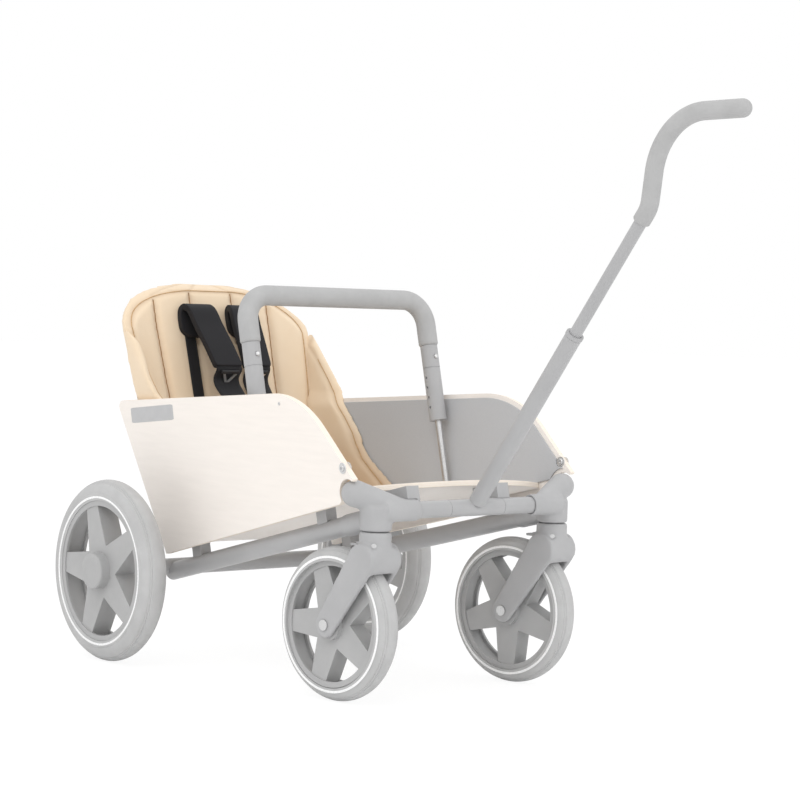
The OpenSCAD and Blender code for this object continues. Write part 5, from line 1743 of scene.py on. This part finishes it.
def front_belt(label, side):
    """The belt from under a pad down to the buckle, narrowing on its way, and its route."""
    foot = pad_place(side, *PAD_LINE[-1])
    above = pad_place(side, *PAD_LINE[-2])
    hang = (foot - above).normalized()
    end = floor_point(BUCKLE_MIDDLE[0], side * BELT_END_ACROSS, BUCKLE_MIDDLE[1])
    points = [foot - hang * BELT_TUCK, foot + hang * BELT_LEAD, foot - UP * BELT_DROP]
    points += [foot.lerp(end, 0.5), foot.lerp(end, 0.75), end]
    route = smooth_route(points, BELT_POINT_STEPS)

    def taper(done, left):
        return BELT_LEAST + (1.0 - BELT_LEAST) * min(1.0, left / (done + left) * BELT_NARROWING)

    belt = strap("harness_belt_" + label, route, sizes().pad_width * BELT_WIDTH,
                 sizes().web_thickness * BELT_THICKNESS, "harness_weave", taper)
    return settle(belt, "chassis", "harness_cloth"), route


def back_strap(label, side):
    """The strap that hangs from under a pad's fold, down the seat back."""
    tree = surface_of(bpy.data.objects["seat_back_cover"])
    thickness = sizes().web_thickness
    top = PAD_TOP - PAD_LINE[1][1]
    starts = []
    for step in range(BACK_STRAP_STEPS + 1):
        height = top + (BACK_STRAP_LOW_Z - top) * step / BACK_STRAP_STEPS
        starts.append(Vector((seat_front(height) + RAY_START, side * BACK_STRAP_ACROSS, height)))
    route = laid_on(tree, starts, REARWARD, thickness)
    piece = strap("harness_back_strap_" + label, route, sizes().web_width, thickness, "harness_weave")
    return settle(piece, "chassis", "harness_cloth")


def on_belt(route, done, lift):
    """Where a piece lies on a belt, at a distance along its route and a lift off it."""
    for start, end in zip(route, route[1:]):
        step = (end - start).length
        if done <= step:
            break
        done -= step
    heading = (end - start).normalized()
    face = heading.cross(ACROSS).normalized()
    if face.x < 0.0:
        face = -face
    turn = Matrix((ACROSS, -heading, face)).transposed().to_4x4()
    return Matrix.Translation(start + heading * done + face * lift) @ turn


def belt_ring(label, route):
    """A steel triangle on the belt under a pad, with its point down."""
    bm = bmesh.new()
    half_turn = Matrix.Rotation(math.pi, 3, "Z")
    bmesh.ops.create_circle(bm, cap_ends=True, segments=3, radius=RING_RADIUS)
    bmesh.ops.rotate(bm, verts=bm.verts[:], cent=(0.0, 0.0, 0.0), matrix=half_turn)
    bmesh.ops.bevel(bm, geom=bm.verts[:], affect="VERTICES", offset=RING_CORNER, segments=4, profile=0.5,
                    material=-1)
    rim = set(bmesh.ops.inset_region(bm, faces=bm.faces[:], thickness=RING_WALL, use_boundary=True)["faces"])
    middle = [part for part in bm.faces if part not in rim]
    bmesh.ops.delete(bm, geom=middle, context="FACES")
    raised = bmesh.ops.extrude_face_region(bm, geom=bm.faces[:])["geom"]
    bmesh.ops.translate(bm, verts=[part for part in raised if isinstance(part, bmesh.types.BMVert)],
                        vec=(0.0, 0.0, RING_THICKNESS))
    bmesh.ops.transform(bm, verts=bm.verts[:], matrix=on_belt(route, BELT_TUCK + RING_ALONG, RING_LIFT))
    ring = rounded(made_piece("harness_ring_" + label, bm, ["brushed_steel"]), RING_ROUND)
    return settle(ring, "chassis", "steel")


def belt_slide(label, route):
    """A black bar on the belt, across the top of its steel triangle."""
    bm = bmesh.new()
    bmesh.ops.create_cube(bm, size=1.0)
    bmesh.ops.scale(bm, verts=bm.verts[:], vec=SLIDE_SIZE)
    bmesh.ops.transform(bm, verts=bm.verts[:], matrix=on_belt(route, BELT_TUCK + SLIDE_ALONG, SLIDE_LIFT))
    bar = rounded(made_piece("harness_bar_" + label, bm, ["buckle_plastic"]), SLIDE_ROUND, 3)
    return settle(bar, "chassis", "black_plastic")


def buckle():
    """A round buckle on the seat base, with a raised button in its middle."""
    outline = [(0.0, 0.0), (BUCKLE_RADIUS, 0.0)]
    shoulder = (BUCKLE_RADIUS - BUCKLE_ROUND, BUCKLE_HEIGHT - BUCKLE_SHOULDER)
    outline += arc(shoulder, BUCKLE_ROUND, 0.0, 80.0, 5)
    outline += [(radius, BUCKLE_HEIGHT - depth) for radius, depth in BUCKLE_BUTTON]
    base = floor_point(BUCKLE_MIDDLE[0], 0.0, BUCKLE_MIDDLE[1] - BUCKLE_HEIGHT / 2.0)
    piece = turned("harness_buckle", outline, base, BAR_AXIS, ["buckle_plastic"], steps=BUCKLE_STEPS)
    return settle(piece, "chassis", "black_plastic")


class WAGON_OT_harness(bpy.types.Operator):
    """Builds the shoulder pads, webbing and hardware of the harness"""

    bl_idname = "wagon.harness"
    bl_label = "Harness"

    def execute(self, context):
        for label, side in SIDES.items():
            shoulder_pad(label, side)
            belt, route = front_belt(label, side)
            back_strap(label, side)
            belt_ring(label, route)
            belt_slide(label, route)
        buckle()
        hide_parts("harness_pads")
        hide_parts("harness_webbing")
        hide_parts("harness_hardware")
        return {"FINISHED"}


# Stage

CAMERA_PLACE = Vector((REAR_AXLE_X + 3.3494, -2.4370, 0.6243))
CAMERA_YAW = math.radians(50.1686)
CAMERA_PITCH = math.radians(2.1648)
CAMERA_ROLL = math.radians(1.6584)
CAMERA_LENS = 100.775
CAMERA_SENSOR = 36.0
CAMERA_FAR = 100.0
FLOOR_HALF = 30.0
FLOOR_GLOW = 1.05
FLOOR_SEEN = 0.85
SKY_LIGHT = 0.86


def camera():
    """The camera at the photograph's viewing angle."""
    level = math.cos(CAMERA_PITCH)
    back = Vector((math.sin(CAMERA_YAW) * level, -math.cos(CAMERA_YAW) * level, math.sin(CAMERA_PITCH)))
    right = Vector((math.cos(CAMERA_YAW), math.sin(CAMERA_YAW), 0.0))
    upward = back.cross(right)
    right_rolled = right * math.cos(CAMERA_ROLL) + upward * math.sin(CAMERA_ROLL)
    upward_rolled = upward * math.cos(CAMERA_ROLL) - right * math.sin(CAMERA_ROLL)
    lens = bpy.data.cameras.new("Camera")
    lens.lens = CAMERA_LENS
    lens.sensor_width = CAMERA_SENSOR
    lens.clip_end = CAMERA_FAR
    eye = bpy.data.objects.new("Camera", lens)
    bpy.context.scene.collection.objects.link(eye)
    turn = Matrix((right_rolled, upward_rolled, back)).transposed()
    eye.matrix_world = Matrix.Translation(CAMERA_PLACE) @ turn.to_4x4()
    bpy.context.scene.camera = eye


def soft_light(name, place, aim, size, power):
    """A square lamp that points at a place."""
    lamp = bpy.data.lights.new(name, "AREA")
    lamp.shape = "SQUARE"
    lamp.size = size
    lamp.energy = power
    holder = bpy.data.objects.new(name, lamp)
    holder.location = place
    holder.rotation_euler = (Vector(aim) - Vector(place)).to_track_quat("-Z", "Y").to_euler()
    bpy.context.scene.collection.objects.link(holder)


def maths_node(tree, operation, first):
    """A maths node with its first input joined."""
    node = tree.nodes.new("ShaderNodeMath")
    node.operation = operation
    tree.links.new(first, node.inputs[0])
    return node


def seen_white(tree, share):
    """Share of the plain white that the camera, mirrors and glass see over what is lit."""
    path = tree.nodes.new("ShaderNodeLightPath")
    seen = path.outputs["Is Camera Ray"]
    for ray in ("Is Glossy Ray", "Is Transmission Ray"):
        either = maths_node(tree, "MAXIMUM", seen)
        tree.links.new(path.outputs[ray], either.inputs[1])
        seen = either.outputs["Value"]
    part = maths_node(tree, "MULTIPLY", seen)
    part.inputs[1].default_value = share
    return part.outputs["Value"]


def white_node(tree, kind, strength=None):
    """A shader node in the studio's white."""
    node = tree.nodes.new(kind)
    node.inputs["Color"].default_value = (*colours().studio_white, 1.0)
    if strength is not None:
        node.inputs["Strength"].default_value = strength
    return node.outputs[0]


def seen_over_lit(tree, share, lit, seen, output_kind):
    """Joins what lights the object and what is seen in its place to a tree's output."""
    mix = tree.nodes.new("ShaderNodeMixShader")
    tree.links.new(seen_white(tree, share), mix.inputs["Fac"])
    tree.links.new(lit, mix.inputs[1])
    tree.links.new(seen, mix.inputs[2])
    output = tree.nodes.new(output_kind)
    tree.links.new(mix.outputs["Shader"], output.inputs["Surface"])


def studio_floor():
    """A pale floor that keeps the object's shadow."""
    bm = bmesh.new()
    bmesh.ops.create_grid(bm, x_segments=1, y_segments=1, size=FLOOR_HALF)
    mesh = bpy.data.meshes.new("studio_floor")
    bm.to_mesh(mesh)
    bm.free()
    white = bpy.data.materials.new("studio_white")
    white.use_nodes = True
    tree = white.node_tree
    tree.nodes.clear()
    seen_over_lit(tree, FLOOR_SEEN, white_node(tree, "ShaderNodeBsdfDiffuse"),
                  white_node(tree, "ShaderNodeEmission", FLOOR_GLOW), "ShaderNodeOutputMaterial")
    mesh.materials.append(white)
    object_of("studio_floor", mesh)


def studio_sky():
    """A plain bright sky that is seen as white."""
    world = bpy.data.worlds.new("Studio")
    bpy.context.scene.world = world
    world.use_nodes = True
    tree = world.node_tree
    tree.nodes.clear()
    seen_over_lit(tree, 1.0, white_node(tree, "ShaderNodeBackground", SKY_LIGHT),
                  white_node(tree, "ShaderNodeBackground", 1.0), "ShaderNodeOutputWorld")


class WAGON_OT_stage(bpy.types.Operator):
    """Sets the camera, the soft studio light and the pale floor"""

    bl_idname = "wagon.stage"
    bl_label = "Stage"

    def execute(self, context):
        context.scene.view_settings.view_transform = "Standard"
        camera()
        studio_floor()
        studio_sky()
        soft_light("Key", place=(1.2, -2.6, 3.4), aim=(0.0, 0.0, 0.4), size=2.8, power=40.0)
        soft_light("Fill", place=(3.2, 1.4, 2.2), aim=(0.0, 0.0, 0.4), size=2.6, power=20.0)
        soft_light("Top", place=(-1.0, 0.6, 3.6), aim=(-0.2, 0.0, 0.4), size=2.6, power=14.0)
        return {"FINISHED"}


# The operators in the order in which they run
PIECES = (WAGON_OT_stage, WAGON_OT_chassis, WAGON_OT_box, WAGON_OT_wheels, WAGON_OT_casters,
          WAGON_OT_pull_handle, WAGON_OT_grab_bar, WAGON_OT_seat, WAGON_OT_harness)


class WAGON_PT_pieces(bpy.types.Panel):
    """Lists the wagon's pieces"""

    bl_idname = "WAGON_PT_pieces"
    bl_label = "Stroller Wagon"
    bl_space_type = "VIEW_3D"
    bl_region_type = "UI"
    bl_category = "Wagon"

    def draw(self, context):
        for piece in PIECES:
            self.layout.operator(piece.bl_idname)


CLASSES = (WagonSizes, WagonColours, *PIECES, WAGON_PT_pieces)


def register():
    """Adds the classes and their sizes and colours."""
    for entry in CLASSES:
        bpy.utils.register_class(entry)
    bpy.types.Scene.wagon_sizes = PointerProperty(type=WagonSizes)
    bpy.types.Scene.wagon_colours = PointerProperty(type=WagonColours)


def unregister():
    """Takes the classes and their sizes and colours away."""
    del bpy.types.Scene.wagon_colours
    del bpy.types.Scene.wagon_sizes
    for entry in reversed(CLASSES):
        bpy.utils.unregister_class(entry)


def main():
    """Builds every piece in order."""
    register()
    for piece in PIECES:
        group, step = piece.bl_idname.split(".")
        getattr(getattr(bpy.ops, group), step)()


if __name__ == "__main__":
    main()
